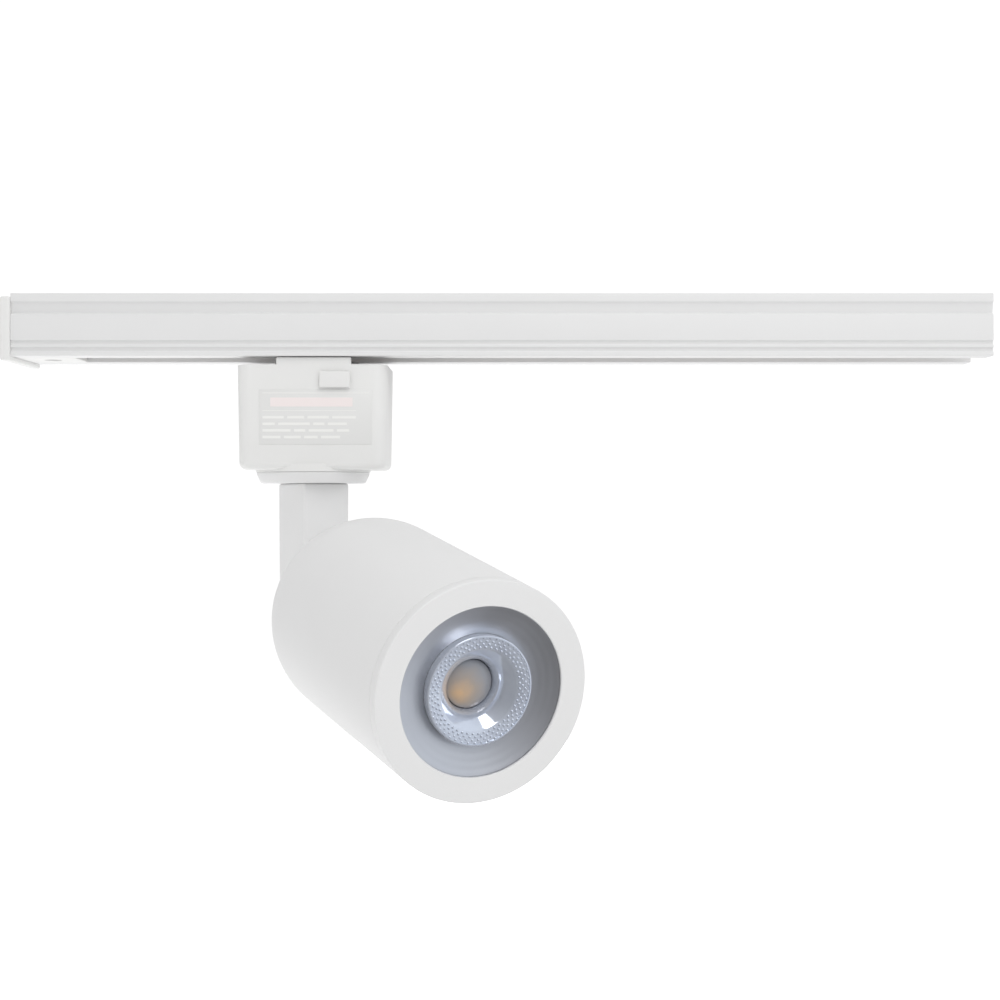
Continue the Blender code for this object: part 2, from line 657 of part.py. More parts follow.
def make_latch(parent):
    half_x, half_y = LATCH_HALF
    low, high = (-half_x, -half_y, LATCH_BOTTOM), (half_x, half_y, LATCH_TOP)
    latch = block("release_latch", low, high, WHITE_PLASTIC, parent)
    low, high = (STEM_LEFT, BUTTON_FRONT + 0.3 * MM, STEM_BOTTOM), (STEM_RIGHT, -half_y + 1 * MM, STEM_TOP)
    stem = block("stem", low, high, parent=parent)
    low = (STEM_LEFT - BUTTON_MARGIN, BUTTON_FRONT, BUTTON_BOTTOM)
    high = (STEM_RIGHT + BUTTON_MARGIN, BUTTON_BACK, BUTTON_TOP)
    button = block("button", low, high, parent=parent, rounding=BUTTON_ROUNDING)
    join(latch, stem, button)
    below, above = (0, 0, LATCH_BOTTOM - 1 * MM), (0, 0, LATCH_TOP + 1 * MM)
    cut(latch, rod("neck_clearance", NECK_RADIUS + 0.4 * MM, below, above, parent=parent, sides=24))


def make_latch_springs(parent):
    """Two coils that push the tongue up off the contact frame."""
    top, bottom = LATCH_BOTTOM - GAP - SPRING_WIRE, FRAME_PLATE_TOP + GAP + SPRING_WIRE
    steps_per_turn = 8
    count = SPRING_TURNS * steps_per_turn
    for side, centre_x in (("left", -SPRING_X), ("right", SPRING_X)):
        route = []
        for i in range(count + 1):
            angle = 2 * math.pi * i / steps_per_turn
            x, y = centre_x + SPRING_RADIUS * math.cos(angle), SPRING_RADIUS * math.sin(angle)
            route.append((x, y, bottom + (top - bottom) * i / count))
        wire(f"latch_spring_{side}", SPRING_WIRE, route, STEEL, parent, sharpness=0)


# Swivel ------------------------------------------------------------------------------------------------

def make_swivel(parent):
    bore = TUBE_RADIUS + GAP
    ring("swivel_tube", TUBE_RADIUS, TUBE_BORE, TUBE_TOP, TUBE_BOTTOM, STEEL, parent, steps=24)
    low = BOX_BOTTOM + BOX_WALL + GAP
    high = low + SWIVEL_WASHER_THICKNESS
    ring("swivel_washer", SWIVEL_WASHER_RADIUS, bore, high, low, NYLON, parent, steps=24)
    low = high + GAP
    high = low + STOP_THICKNESS
    stop = ring("stop_washer", STOP_WASHER_RADIUS, bore, high, low, STEEL, parent, steps=24)
    inner, outer = (STOP_HALF_WIDTH, 1 * MM - STOP_WASHER_RADIUS, high), (-STOP_HALF_WIDTH, -STOP_REACH, low)
    join(stop, block("stop_tab", outer, inner, parent=parent))
    low = high + GAP
    high = low + NUT_THICKNESS
    nut = rod("swivel_nut", NUT_CORNER_RADIUS, (0, 0, low), (0, 0, high), STEEL, parent, sides=6)
    cut(nut, rod("nut_bore", bore, (0, 0, low - 1 * MM), (0, 0, high + 1 * MM), parent=parent, sides=24))
    collar = [
        (COLLAR_TOP_RADIUS, COLLAR_TOP),
        (COLLAR_TOP_RADIUS, COLLAR_TOP - 0.5 * MM),
        (COLLAR_BOTTOM_RADIUS + 0.5 * MM, COLLAR_BOTTOM + 0.5 * MM),
        (COLLAR_BOTTOM_RADIUS, COLLAR_BOTTOM),
        (bore, COLLAR_BOTTOM),
        (bore, COLLAR_TOP),
    ]
    turned("swivel_collar", collar, WHITE_PAINT, parent)


def arm_outline():
    """The arm's side, as (Y, Z): straight down to the pivot, then round it. -Y faces the head."""
    bottom = arc((0, PIVOT_HEIGHT), ARM_END_RADIUS, 0, -180, 17)
    return [(-ARM_HALF_DEPTH, ARM_TOP), (ARM_HALF_DEPTH, ARM_TOP)] + bottom


def pocket_outline():
    """The room in the fork for the head's tongue, open towards the head and downwards."""
    reach = 14 * MM
    top = arc((0, PIVOT_HEIGHT), FORK_POCKET, 90, 0, 9)
    front, below = -reach, PIVOT_HEIGHT - reach
    return [(front, below), (front, PIVOT_HEIGHT + FORK_POCKET)] + top + [(FORK_POCKET, below)]


def make_arm(parent):
    arm = extrusion("arm", arm_outline(), -ARM_HALF_WIDTH, ARM_HALF_WIDTH, WHITE_PAINT, parent, ALONG_X)
    edge = arm.modifiers.new("Edges", "BEVEL")
    edge.width = ARM_EDGE
    edge.segments = 2
    edge.limit_method = "ANGLE"
    edge.angle_limit = math.radians(50)
    half = FORK_HALF_GAP
    pocket = extrusion("fork_pocket", pocket_outline(), -half, half, parent=parent, turn=ALONG_X)
    low, high = (0, 0, TUBE_BOTTOM - GAP), (0, 0, ARM_TOP + 4 * MM)
    socket = rod("tube_socket", TUBE_RADIUS + GAP, low, high, parent=parent, sides=24)
    low, high = (0, 0, PIVOT_HEIGHT + FORK_POCKET - 2 * MM), (0, 0, TUBE_BOTTOM + 1 * MM)
    channel = rod("lead_channel", LEAD_CHANNEL, low, high, parent=parent)
    inner, outer = (0, TUBE_RADIUS - 1 * MM, GRUB_HEIGHT), (0, ARM_HALF_DEPTH + 2 * MM, GRUB_HEIGHT)
    grub_hole = rod("grub_hole", GRUB_RADIUS + GAP, inner, outer, parent=parent)
    mouth = (ARM_HALF_WIDTH, 0, PIVOT_HEIGHT)
    pin_hole = screw_hole("pin_hole", mouth, LEFT, ARM_HALF_WIDTH, PIN_RADIUS + GAP, PIN_SINK_RADIUS, parent)
    low, high = (INSERT_END - GAP, 0, PIVOT_HEIGHT), (0, 0, PIVOT_HEIGHT)
    insert_hole = rod("insert_hole", INSERT_RADIUS + GAP, low, high, parent=parent)
    cut(arm, pocket, socket, channel, grub_hole, pin_hole, insert_hole)

    end = ARM_HALF_DEPTH - 1 * MM
    inner, outer = (0, TUBE_RADIUS + GAP, GRUB_HEIGHT), (0, end, GRUB_HEIGHT)
    grub = rod("arm_grub_screw", GRUB_RADIUS, inner, outer, STEEL, parent)
    inner, outer = (0, end - 1.4 * MM, GRUB_HEIGHT), (0, end + 1 * MM, GRUB_HEIGHT)
    cut(grub, rod("grub_socket", 0.8 * MM, inner, outer, parent=parent, sides=6))


def make_tilt_hardware(parent):
    """What stays in the fork: the pivot screw, its threaded insert and the friction washers."""
    head = (PIN_HEAD_X, 0, PIVOT_HEIGHT)
    countersunk("tilt_screw", head, LEFT, PIN_LENGTH, PIN_RADIUS, PIN_HEAD_RADIUS, parent)
    across = Matrix.Translation((0, 0, PIVOT_HEIGHT)) @ Matrix.Rotation(math.radians(90), 4, "Y")
    bore = PIN_RADIUS + GAP
    start = -FORK_HALF_GAP - GAP
    insert = ring("tilt_insert", INSERT_RADIUS, bore, start, INSERT_END, BRASS, parent, steps=24)
    insert.matrix_local = across
    start, end = TONGUE_HALF + GAP, FORK_HALF_GAP - GAP
    for side, low, high in (("left", -end, -start), ("right", start, end)):
        washer = ring(f"tilt_washer_{side}", TILT_WASHER_RADIUS, bore, high, low, NYLON, parent, steps=24)
        washer.matrix_local = across


# Head --------------------------------------------------------------------------------------------------

def make_head_body(parent):
    """A round can with a domed rear end, its walls thicker behind the heat sink, and a tongue on the dome."""
    centre = (0, HEAD_REAR + HEAD_RADIUS)
    inner = HEAD_RADIUS - REAR_WALL
    profile = arc(centre, inner, -90, 0, 7)
    profile[0] = (0, profile[0][1])
    profile += [(inner, SINK_SEAT), (FRONT_BORE, SINK_SEAT), (FRONT_BORE, SHELL_END)]
    profile += [(HEAD_RADIUS, SHELL_END)]
    profile += arc(centre, HEAD_RADIUS, 0, -90, 10)
    profile[-1] = (0, profile[-1][1])
    body = turned("head_body", profile, WHITE_PAINT, parent)

    root = TONGUE_ROOT_HALF
    tongue = arc((0, 0), TONGUE_RADIUS, 0, -180, 17)
    tongue += [(-TONGUE_RADIUS, TONGUE_SHANK), (-root, TONGUE_ROOT)]
    tongue += [(root, TONGUE_ROOT), (TONGUE_RADIUS, TONGUE_SHANK)]
    join(body, extrusion("tongue", tongue, -TONGUE_HALF, TONGUE_HALF, parent=parent, turn=ALONG_X))
    low, high = (-ARM_HALF_WIDTH, 0, 0), (ARM_HALF_WIDTH, 0, 0)
    cut(body, rod("tongue_hole", PIN_RADIUS + GAP, low, high, parent=parent))
    low, high = (LEAD_OFFSET, 0, HEAD_REAR - 6 * MM), (LEAD_OFFSET, 0, HEAD_REAR + 14 * MM)
    cut(body, rod("lead_hole", LEAD_PASSAGE, low, high, parent=parent))


def make_front_ring(parent):
    lip_back = HEAD_FRONT - RING_LIP
    flange_back = SHELL_END + GAP
    chamfer = 0.4 * MM
    profile = [
        (HEAD_RADIUS - chamfer, HEAD_FRONT),
        (HEAD_RADIUS, HEAD_FRONT - chamfer),
        (HEAD_RADIUS, flange_back),
        (SPIGOT_OUTER, flange_back),
        (SPIGOT_OUTER, SPIGOT_END),
        (SPIGOT_INNER, SPIGOT_END),
        (SPIGOT_INNER, lip_back),
        (RING_OPENING, lip_back),
        (RING_OPENING, HEAD_FRONT),
    ]
    turned("front_ring", profile, WHITE_PAINT, parent)


def dish_curve(offset, count=6):
    """The bowl between the rim and the lens, steep at the rim and flat at the lens, as (radius, height)."""
    outer, inner = RING_OPENING - 0.3 * MM, LENS_RADIUS + 0.5 * MM
    depth = DISH_RIM - DISH_FLOOR
    points = []
    for i in range(count):
        share = i / (count - 1)
        fall = depth * (1 - (1 - share) ** DISH_CURVE)
        points.append((outer + (inner - outer) * share, DISH_RIM - fall - offset))
    return points


def make_dish(parent):
    flange = SPIGOT_INNER - GAP
    profile = [(flange, DISH_RIM), (flange, DISH_RIM - DISH_SKIN)]
    for i, (radius, height) in enumerate(dish_curve(DISH_SKIN)):
        profile.append((radius + DISH_SKIN * (1 - i / 5), height))
    turned("dish", profile + list(reversed(dish_curve(0))), SILVER, parent)


def make_lens(parent):
    """A moulded collimator: a flat rim, a crater down to a bulging middle, and a cone behind."""
    crater, centre = 10.9 * MM, 6.2 * MM
    crater_floor, bulge = 111.2 * MM, 112.4 * MM
    rim_back = LENS_FRONT - 1.6 * MM
    cavity = 5.8 * MM
    profile = [
        (0, bulge),
        (centre / 2, bulge - 0.3 * MM),
        (centre, crater_floor),
        (crater, LENS_FRONT),
        (LENS_RADIUS, LENS_FRONT),
        (LENS_RADIUS, rim_back),
        (12.2 * MM, rim_back),
        (6.8 * MM, LENS_BACK),
        (cavity, LENS_BACK),
        (cavity, LENS_BACK + 1.2 * MM),
        (0, LENS_BACK + 1.6 * MM),
    ]
    turned("lens", profile, CLEAR, parent)
    top = rim_back - GAP
    ring("lens_holder", HOLDER_OUTER, HOLDER_INNER, top, SINK_FRONT + GAP, WHITE_PLASTIC, parent)


def make_led(parent):
    low, high = (0, 0, BOARD_BACK), (0, 0, BOARD_FRONT)
    board = rod("led_board", BOARD_RADIUS, low, high, BOARD_WHITE, parent, sides=HEAD_SIDES)
    low, high = (0, 0, BOARD_FRONT + GAP), (0, 0, BOARD_FRONT + GAP + EMITTER_THICKNESS)
    rod("led_emitter", EMITTER_RADIUS, low, high, PHOSPHOR, parent, sides=24)
    behind, before = BOARD_BACK - 1 * MM, BOARD_FRONT + 1 * MM
    head = BOARD_FRONT + GAP
    for i, x in enumerate((-BOARD_SCREW_OFFSET, BOARD_SCREW_OFFSET)):
        hole = rod(f"board_hole_{i + 1}", BOARD_SCREW_HOLE, (x, 0, behind), (x, 0, before), parent=parent)
        cut(board, hole)
        top, tip = head + BOARD_SCREW_HEAD, head - BOARD_SCREW_LENGTH
        profile = [(0, top), (BOARD_SCREW_HEAD_RADIUS, top), (BOARD_SCREW_HEAD_RADIUS, head)]
        profile += [(BOARD_SCREW_RADIUS, head), (BOARD_SCREW_RADIUS, tip), (0, tip)]
        screw = turned(f"led_screw_{i + 1}", profile, STEEL, parent, steps=SMALL_SIDES)
        screw.location = (x, 0, 0)
    for side, y in (("upper", BOARD_SCREW_OFFSET), ("lower", -BOARD_SCREW_OFFSET)):
        cut(board, rod(f"pad_hole_{side}", LEAD_HOLE, (0, y, behind), (0, y, before), parent=parent))
    make_led_leads(parent)


def make_led_leads(parent):
    """From the driver, between two fins and through the sink and the board."""
    for side, sign, finish in (("upper", 1, LEAD_RED), ("lower", -1, LEAD_BLACK)):
        route = [(0, sign * reach, height) for height, reach in (
            (80.0 * MM, 11.5 * MM),
            (84.0 * MM, 11.2 * MM),
            (88.0 * MM, 10.2 * MM),
            (92.0 * MM, 9.6 * MM),
            (99.0 * MM, 9.6 * MM),
            (106.6 * MM, 9.6 * MM),
        )]
        wire(f"led_lead_{side}", 0.7 * MM, route, finish, parent)


def make_heat_sink(parent):
    low, high = (0, 0, SINK_SEAT + GAP), (0, 0, SINK_FRONT)
    sink = rod("heat_sink", SINK_RADIUS, low, high, ALUMINIUM, parent, sides=HEAD_SIDES)
    reach = HEAD_RADIUS
    for i in range(FIN_GAPS):
        x = (i - (FIN_GAPS - 1) / 2) * FIN_PITCH
        low, high = (x - FIN_GAP / 2, -reach, SINK_SEAT - 1 * MM), (x + FIN_GAP / 2, reach, FIN_ROOT)
        cut(sink, block(f"fin_gap_{i + 1}", low, high, parent=parent))
    for i, offset in enumerate((-BOARD_SCREW_OFFSET, BOARD_SCREW_OFFSET)):
        low, high = (offset, 0, FIN_ROOT + 1.2 * MM), (offset, 0, SINK_FRONT + 1 * MM)
        cut(sink, rod(f"sink_screw_hole_{i + 1}", BOARD_SCREW_HOLE, low, high, parent=parent))
        low, high = (0, offset, FIN_ROOT - 1 * MM), (0, offset, SINK_FRONT + 1 * MM)
        cut(sink, rod(f"sink_lead_hole_{i + 1}", LEAD_HOLE, low, high, parent=parent))


def make_driver(parent):
    """A plastic cup in the dome with the driver's board on edge inside it."""
    inner = DRIVER_RADIUS - DRIVER_WALL
    floor = DRIVER_REAR + DRIVER_WALL
    profile = [
        (0, floor),
        (inner, floor),
        (inner, DRIVER_FRONT),
        (DRIVER_RADIUS, DRIVER_FRONT),
        (DRIVER_RADIUS, DRIVER_REAR),
        (0, DRIVER_REAR),
    ]
    case = turned("driver_case", profile, NYLON, parent)
    low, high = (LEAD_OFFSET, 0, DRIVER_REAR - 1 * MM), (LEAD_OFFSET, 0, floor + 1 * MM)
    cut(case, rod("case_hole", LEAD_PASSAGE, low, high, parent=parent))

    low = (-DRIVER_BOARD_HALF, DRIVER_BOARD_TOP - DRIVER_BOARD_THICKNESS, 48.5 * MM)
    high = (DRIVER_BOARD_HALF, DRIVER_BOARD_TOP, 82.0 * MM)
    block("driver_board", low, high, BOARD_GREEN, parent)
    seat = DRIVER_BOARD_TOP + GAP
    low, high = (-13.0 * MM, seat, 56.0 * MM), (1.0 * MM, 6.5 * MM, 70.0 * MM)
    block("driver_transformer", low, high, WINDING, parent, 0.8 * MM)
    axis = seat + CAPACITOR_RADIUS + 0.2 * MM
    low, high = (9.0 * MM, axis, 60.0 * MM), (9.0 * MM, axis, 74.0 * MM)
    rod("driver_capacitor", CAPACITOR_RADIUS, low, high, SLEEVE, parent)
    low, high = (-11.0 * MM, seat, 75.0 * MM), (-5.0 * MM, seat + 2.6 * MM, 80.0 * MM)
    block("driver_rectifier", low, high, CHIP, parent, 0.2 * MM)
    start, end = HEAD_REAR + 1 * MM, floor + 5 * MM
    route = [(LEAD_OFFSET, 0, start + (end - start) * i / 4) for i in range(5)]
    wire("driver_lead", 1.5 * MM, route, LEAD_WHITE, parent)


# Assembly ----------------------------------------------------------------------------------------------

clear_scene()
PARTS = new_collection("Track spotlight")
CUTTERS = new_collection("Cutters")

WHITE_PAINT = material("white_paint", (0.78, 0.78, 0.78), 0.45)
WHITE_PLASTIC = material("white_plastic", (0.80, 0.80, 0.79), 0.40)
CARRIER_PLASTIC = material("carrier_plastic", (0.62, 0.62, 0.62), 0.5)
NYLON = material("nylon", (0.72, 0.72, 0.70), 0.5)
LABEL_FILM = material("label_film", (0.86, 0.86, 0.84), 0.35)
STEEL = material("zinc_steel", (0.62, 0.63, 0.64), 0.35, 1.0)
COPPER = material("copper", (0.72, 0.42, 0.28), 0.35, 1.0)
BRASS = material("brass", (0.76, 0.62, 0.33), 0.3, 1.0)
ALUMINIUM = material("aluminium", (0.75, 0.76, 0.77), 0.4, 1.0)
SILVER = material("silver_dish", (0.72, 0.74, 0.78), 0.3, 1.0)
CLEAR = material("clear_lens", (0.93, 0.95, 0.97), 0.05)
BOARD_WHITE = material("led_board_white", (0.82, 0.83, 0.82), 0.4)
PHOSPHOR = material("phosphor", (0.85, 0.62, 0.22), 0.6)
BOARD_GREEN = material("driver_board_green", (0.10, 0.30, 0.16), 0.5)
WINDING = material("winding_tape", (0.75, 0.62, 0.18), 0.5)
SLEEVE = material("capacitor_sleeve", (0.05, 0.06, 0.12), 0.4)
CHIP = material("chip_black", (0.03, 0.03, 0.03), 0.5)
LEAD_WHITE = material("lead_white", (0.80, 0.80, 0.80), 0.5)
LEAD_RED = material("lead_red", (0.60, 0.05, 0.04), 0.5)
LEAD_BLACK = material("lead_black", (0.03, 0.03, 0.03), 0.5)

track = empty("track_frame", (0, 0, 0))
adapter = empty("adapter_frame", (0, 0, 0), track)
latch_frame = empty("latch_frame", (0, 0, 0), adapter)
swivel = empty("swivel_frame", (0, 0, 0), adapter, (0, 0, SWIVEL_HEADING))
tilt = empty("tilt_frame", (0, 0, PIVOT_HEIGHT), swivel, (math.radians(90) + HEAD_TILT, 0, 0))

make_track(track)
make_conductors(track)
make_end_cap(track)
make_housing(adapter)
make_cover(adapter)
make_contacts(adapter)
make_label(adapter)
make_supply_leads(adapter)
make_latch(latch_frame)
make_latch_springs(adapter)
make_swivel(swivel)
make_arm(swivel)
make_tilt_hardware(swivel)
make_head_body(tilt)
make_front_ring(tilt)
make_dish(tilt)
make_lens(tilt)
make_led(tilt)
make_heat_sink(tilt)
make_driver(tilt)
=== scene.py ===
"""Looks of the track spotlight: fine shells, lens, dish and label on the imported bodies, in studio light."""

import json
import math

import bmesh
import bpy
from mathutils import Matrix, Vector


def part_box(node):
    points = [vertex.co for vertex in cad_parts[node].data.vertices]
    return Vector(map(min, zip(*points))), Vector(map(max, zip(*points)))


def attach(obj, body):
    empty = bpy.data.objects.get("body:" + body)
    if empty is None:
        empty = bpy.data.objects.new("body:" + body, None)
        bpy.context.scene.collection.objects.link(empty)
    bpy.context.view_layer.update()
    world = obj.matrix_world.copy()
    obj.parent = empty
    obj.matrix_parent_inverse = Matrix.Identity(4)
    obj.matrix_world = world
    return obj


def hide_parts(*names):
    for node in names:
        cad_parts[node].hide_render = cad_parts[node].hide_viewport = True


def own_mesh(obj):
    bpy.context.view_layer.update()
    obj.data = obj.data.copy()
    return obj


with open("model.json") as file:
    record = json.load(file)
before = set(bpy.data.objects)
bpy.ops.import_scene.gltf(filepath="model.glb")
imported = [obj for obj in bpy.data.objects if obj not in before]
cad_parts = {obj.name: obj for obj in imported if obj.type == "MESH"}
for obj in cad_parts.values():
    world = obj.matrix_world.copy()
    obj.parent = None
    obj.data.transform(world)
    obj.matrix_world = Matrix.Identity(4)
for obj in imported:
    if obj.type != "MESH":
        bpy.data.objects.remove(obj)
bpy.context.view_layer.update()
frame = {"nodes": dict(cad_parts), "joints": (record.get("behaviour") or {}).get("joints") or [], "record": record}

MM = 0.001
SLOTS = {part["node"]: part["material_slot"] for part in frame["record"]["subparts"]}
COLOURS = {entry["slot"]: tuple(entry["base_color"][:3]) for entry in frame["record"]["materials"]}
JOINTS = {joint["name"]: joint for joint in frame["joints"]}

# Frames of the moving bodies, from the joints
TILT_JOINT = JOINTS["head_tilt"]
PIVOT = Vector(TILT_JOINT["pos_m"])
SIDEWAYS = Vector(TILT_JOINT["axis"]).normalized()
DROOP = -math.radians(TILT_JOINT["range_deg"][0])
LEVEL = Vector((SIDEWAYS.y, -SIDEWAYS.x, 0))
FORWARD = LEVEL * math.cos(DROOP) - Vector((0, 0, 1)) * math.sin(DROOP)
UPWARD = FORWARD.cross(SIDEWAYS)
HEAD = Matrix.Translation(PIVOT) @ Matrix((SIDEWAYS, UPWARD, FORWARD)).transposed().to_4x4()
SWIVEL = Matrix((SIDEWAYS, -LEVEL, Vector((0, 0, 1)))).transposed().to_4x4()
STRAIGHT = Matrix.Identity(4)
ALONG_X = Matrix(((0, 0, 1, 0), (1, 0, 0, 0), (0, 1, 0, 0), (0, 0, 0, 1)))

FINE = 160  # sides of a large round piece
MEDIUM = 64  # sides of a small one
SMOOTH_BELOW = 35  # degrees between faces that still shade as one surface

# Camera: level, at the height of the adapter's foot, a little to the right of the swivel axis
CAMERA_PLACE = Vector((55.3, -555.3, -59.4)) * MM
CAMERA_LENS = 67.46
CAMERA_SENSOR = 36.0

# Studio
FLOOR_TOP = -0.90
FLOOR_HALF = 6
FLOOR_GLOW = 0.20
SOFT_LIGHT = 0.765  # the even light that shapes the piece
SEEN_LIGHT = 1.05  # what the camera sees behind it
GLEAM_FROM = (0.89, 0.10, 0.44)  # where reflections are brightest
# What reflections see, from straight away from there at 0 to straight towards it at 1
GLEAM_DARK = (0.35, (0.14, 0.14, 0.142, 1))
GLEAM_MIDDLE = (0.60, (0.28, 0.28, 0.295, 1))
GLEAM_BRIGHT = (0.95, (0.72, 0.765, 0.83, 1))
# The white backdrop that reflections see behind the piece, and the cosines over which it fades in
BACKDROP = (0.95, 0.95, 0.95, 1)
BACKDROP_EDGES = (0.35, 0.85)
# Name, place, aim, width and height in metres, watts
LIGHTS = (
    ("key", (0.5, -1.0, 0.7), (0.05, 0, -0.06), (1.2, 1.0), 0.15),
    ("softbox", (0.275, -0.633, 0.579), (0.05, -0.10, -0.105), (0.36, 0.70), 2.1),
    ("lift", (-0.20, 0.25, -0.48), (0.03, 0.0, -0.05), (0.9, 0.6), 1.5),
)
GLOSSY_LIGHT = "softbox"  # the one that shows in reflections


# Mesh tools --------------------------------------------------------------------------------------------

def add(name, bm, placing=STRAIGHT, smooth=SMOOTH_BELOW):
    """A new object from a finished bmesh, with its normals outward."""
    bmesh.ops.recalc_face_normals(bm, faces=bm.faces)
    bmesh.ops.transform(bm, matrix=placing, verts=bm.verts)
    mesh = bpy.data.meshes.new(name)
    bm.to_mesh(mesh)
    bm.free()
    mesh.shade_smooth()
    mesh.set_sharp_from_angle(angle=math.radians(smooth))
    made = bpy.data.objects.new(name, mesh)
    bpy.context.scene.collection.objects.link(made)
    return made


def block(name, low, high, rounding=0.0, segments=3):
    low, high = Vector(low), Vector(high)
    bm = bmesh.new()
    bmesh.ops.create_cube(bm, size=1.0)
    bmesh.ops.scale(bm, vec=high - low, verts=bm.verts)
    bmesh.ops.translate(bm, vec=(low + high) / 2, verts=bm.verts)
    if rounding:
        bmesh.ops.bevel(bm, geom=bm.edges, offset=rounding, segments=segments, profile=0.5, affect="EDGES")
    return add(name, bm)


def rod(name, radius, start, end, end_radius=None):
    start, end = Vector(start), Vector(end)
    along = end - start
    turn = Vector((0, 0, 1)).rotation_difference(along).to_matrix().to_4x4()
    bm = bmesh.new()
    far = radius if end_radius is None else end_radius
    bmesh.ops.create_cone(bm, cap_ends=True, segments=MEDIUM, radius1=radius, radius2=far, depth=along.length)
    bmesh.ops.transform(bm, matrix=Matrix.Translation((start + end) / 2) @ turn, verts=bm.verts)
    return add(name, bm)


def turned(name, profile, placing=STRAIGHT, steps=FINE, smooth=SMOOTH_BELOW):
    """A (radius, height) profile turned about Z; a profile that starts off the axis is closed on itself."""
    closed = profile[0][0] > 0
    bm = bmesh.new()
    rings = []
    for radius, height in profile:
        if radius == 0:
            rings.append([bm.verts.new((0, 0, height))])
            continue
        turn = [2 * math.pi * i / steps for i in range(steps)]
        rings.append([bm.verts.new((radius * math.cos(a), radius * math.sin(a), height)) for a in turn])
    pairs = list(zip(rings, rings[1:])) + ([(rings[-1], rings[0])] if closed else [])
    for upper, lower in pairs:
        for i in range(steps):
            j = (i + 1) % steps
            corners = [upper[i % len(upper)], upper[j % len(upper)]]
            corners += [lower[j % len(lower)], lower[i % len(lower)]]
            bm.faces.new(list(dict.fromkeys(corners)))
    return add(name, bm, placing, smooth)


def extruded(name, outline, low, high, placing=STRAIGHT):
    """A flat outline in XY made solid between two heights."""
    bm = bmesh.new()
    face = bm.faces.new([bm.verts.new((x, y, low)) for x, y in outline])
    grown = bmesh.ops.extrude_face_region(bm, geom=[face])
    moved = [item for item in grown["geom"] if isinstance(item, bmesh.types.BMVert)]
    bmesh.ops.translate(bm, vec=(0, 0, high - low), verts=moved)
    return add(name, bm, placing)


def wound(name, radius, route):
    """A round wire along a route of points."""
    curve = bpy.data.curves.new(name, "CURVE")
    curve.dimensions = "3D"
    curve.bevel_depth = radius
    curve.bevel_resolution = 3
    curve.use_fill_caps = True
    spline = curve.splines.new("POLY")
    spline.points.add(len(route) - 1)
    for point, place in zip(spline.points, route):
        point.co = (*place, 1)
    guide = bpy.data.objects.new(name + "_guide", curve)
    bpy.context.scene.collection.objects.link(guide)
    bpy.context.view_layer.update()
    mesh = bpy.data.meshes.new_from_object(guide.evaluated_get(bpy.context.evaluated_depsgraph_get()))
    bpy.data.objects.remove(guide, do_unlink=True)
    made = bpy.data.objects.new(name, mesh)
    bpy.context.scene.collection.objects.link(made)
    return made


def arc(centre, radius, start, end, count):
    """Points on an arc between two angles in degrees, both ends included."""
    points = []
    for i in range(count):
        angle = math.radians(start + (end - start) * i / (count - 1))
        points.append((centre[0] + radius * math.cos(angle), centre[1] + radius * math.sin(angle)))
    return points


def apply_modifiers(obj):
    bpy.context.view_layer.update()
    graph = bpy.context.evaluated_depsgraph_get()
    mesh = bpy.data.meshes.new_from_object(obj.evaluated_get(graph))
    obj.modifiers.clear()
    obj.data = mesh
    mesh.shade_smooth()
    mesh.set_sharp_from_angle(angle=math.radians(SMOOTH_BELOW))


def combine(obj, operation, *tools):
    """Adds the tools to the object or cuts them from it, and deletes them."""
    for tool in tools:
        modifier = obj.modifiers.new(tool.name, "BOOLEAN")
        modifier.operation = operation
        modifier.solver = "EXACT"
        modifier.object = tool
    apply_modifiers(obj)
    for tool in tools:
        bpy.data.objects.remove(tool, do_unlink=True)


def ease_edges(obj, width, segments, angle):
    """Rounds the edges that are sharper than the angle, in degrees."""
    modifier = obj.modifiers.new("Edges", "BEVEL")
    modifier.width = width
    modifier.segments = segments
    modifier.limit_method = "ANGLE"
    modifier.angle_limit = math.radians(angle)
    apply_modifiers(obj)


def stands_for(obj, body, slot, finish, *nodes):
    """The piece rides on its body, takes its finish and replaces the plain nodes."""
    obj.data.materials.clear()
    obj.data.materials.append(finish)
    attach(obj, body)
    if nodes:
        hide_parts(*nodes)


# Materials ---------------------------------------------------------------------------------------------

def new_material(name):
    made = bpy.data.materials.new(name)
    made.use_nodes = True
    nodes = made.node_tree.nodes
    return made, nodes, made.node_tree.links, nodes["Principled BSDF"]


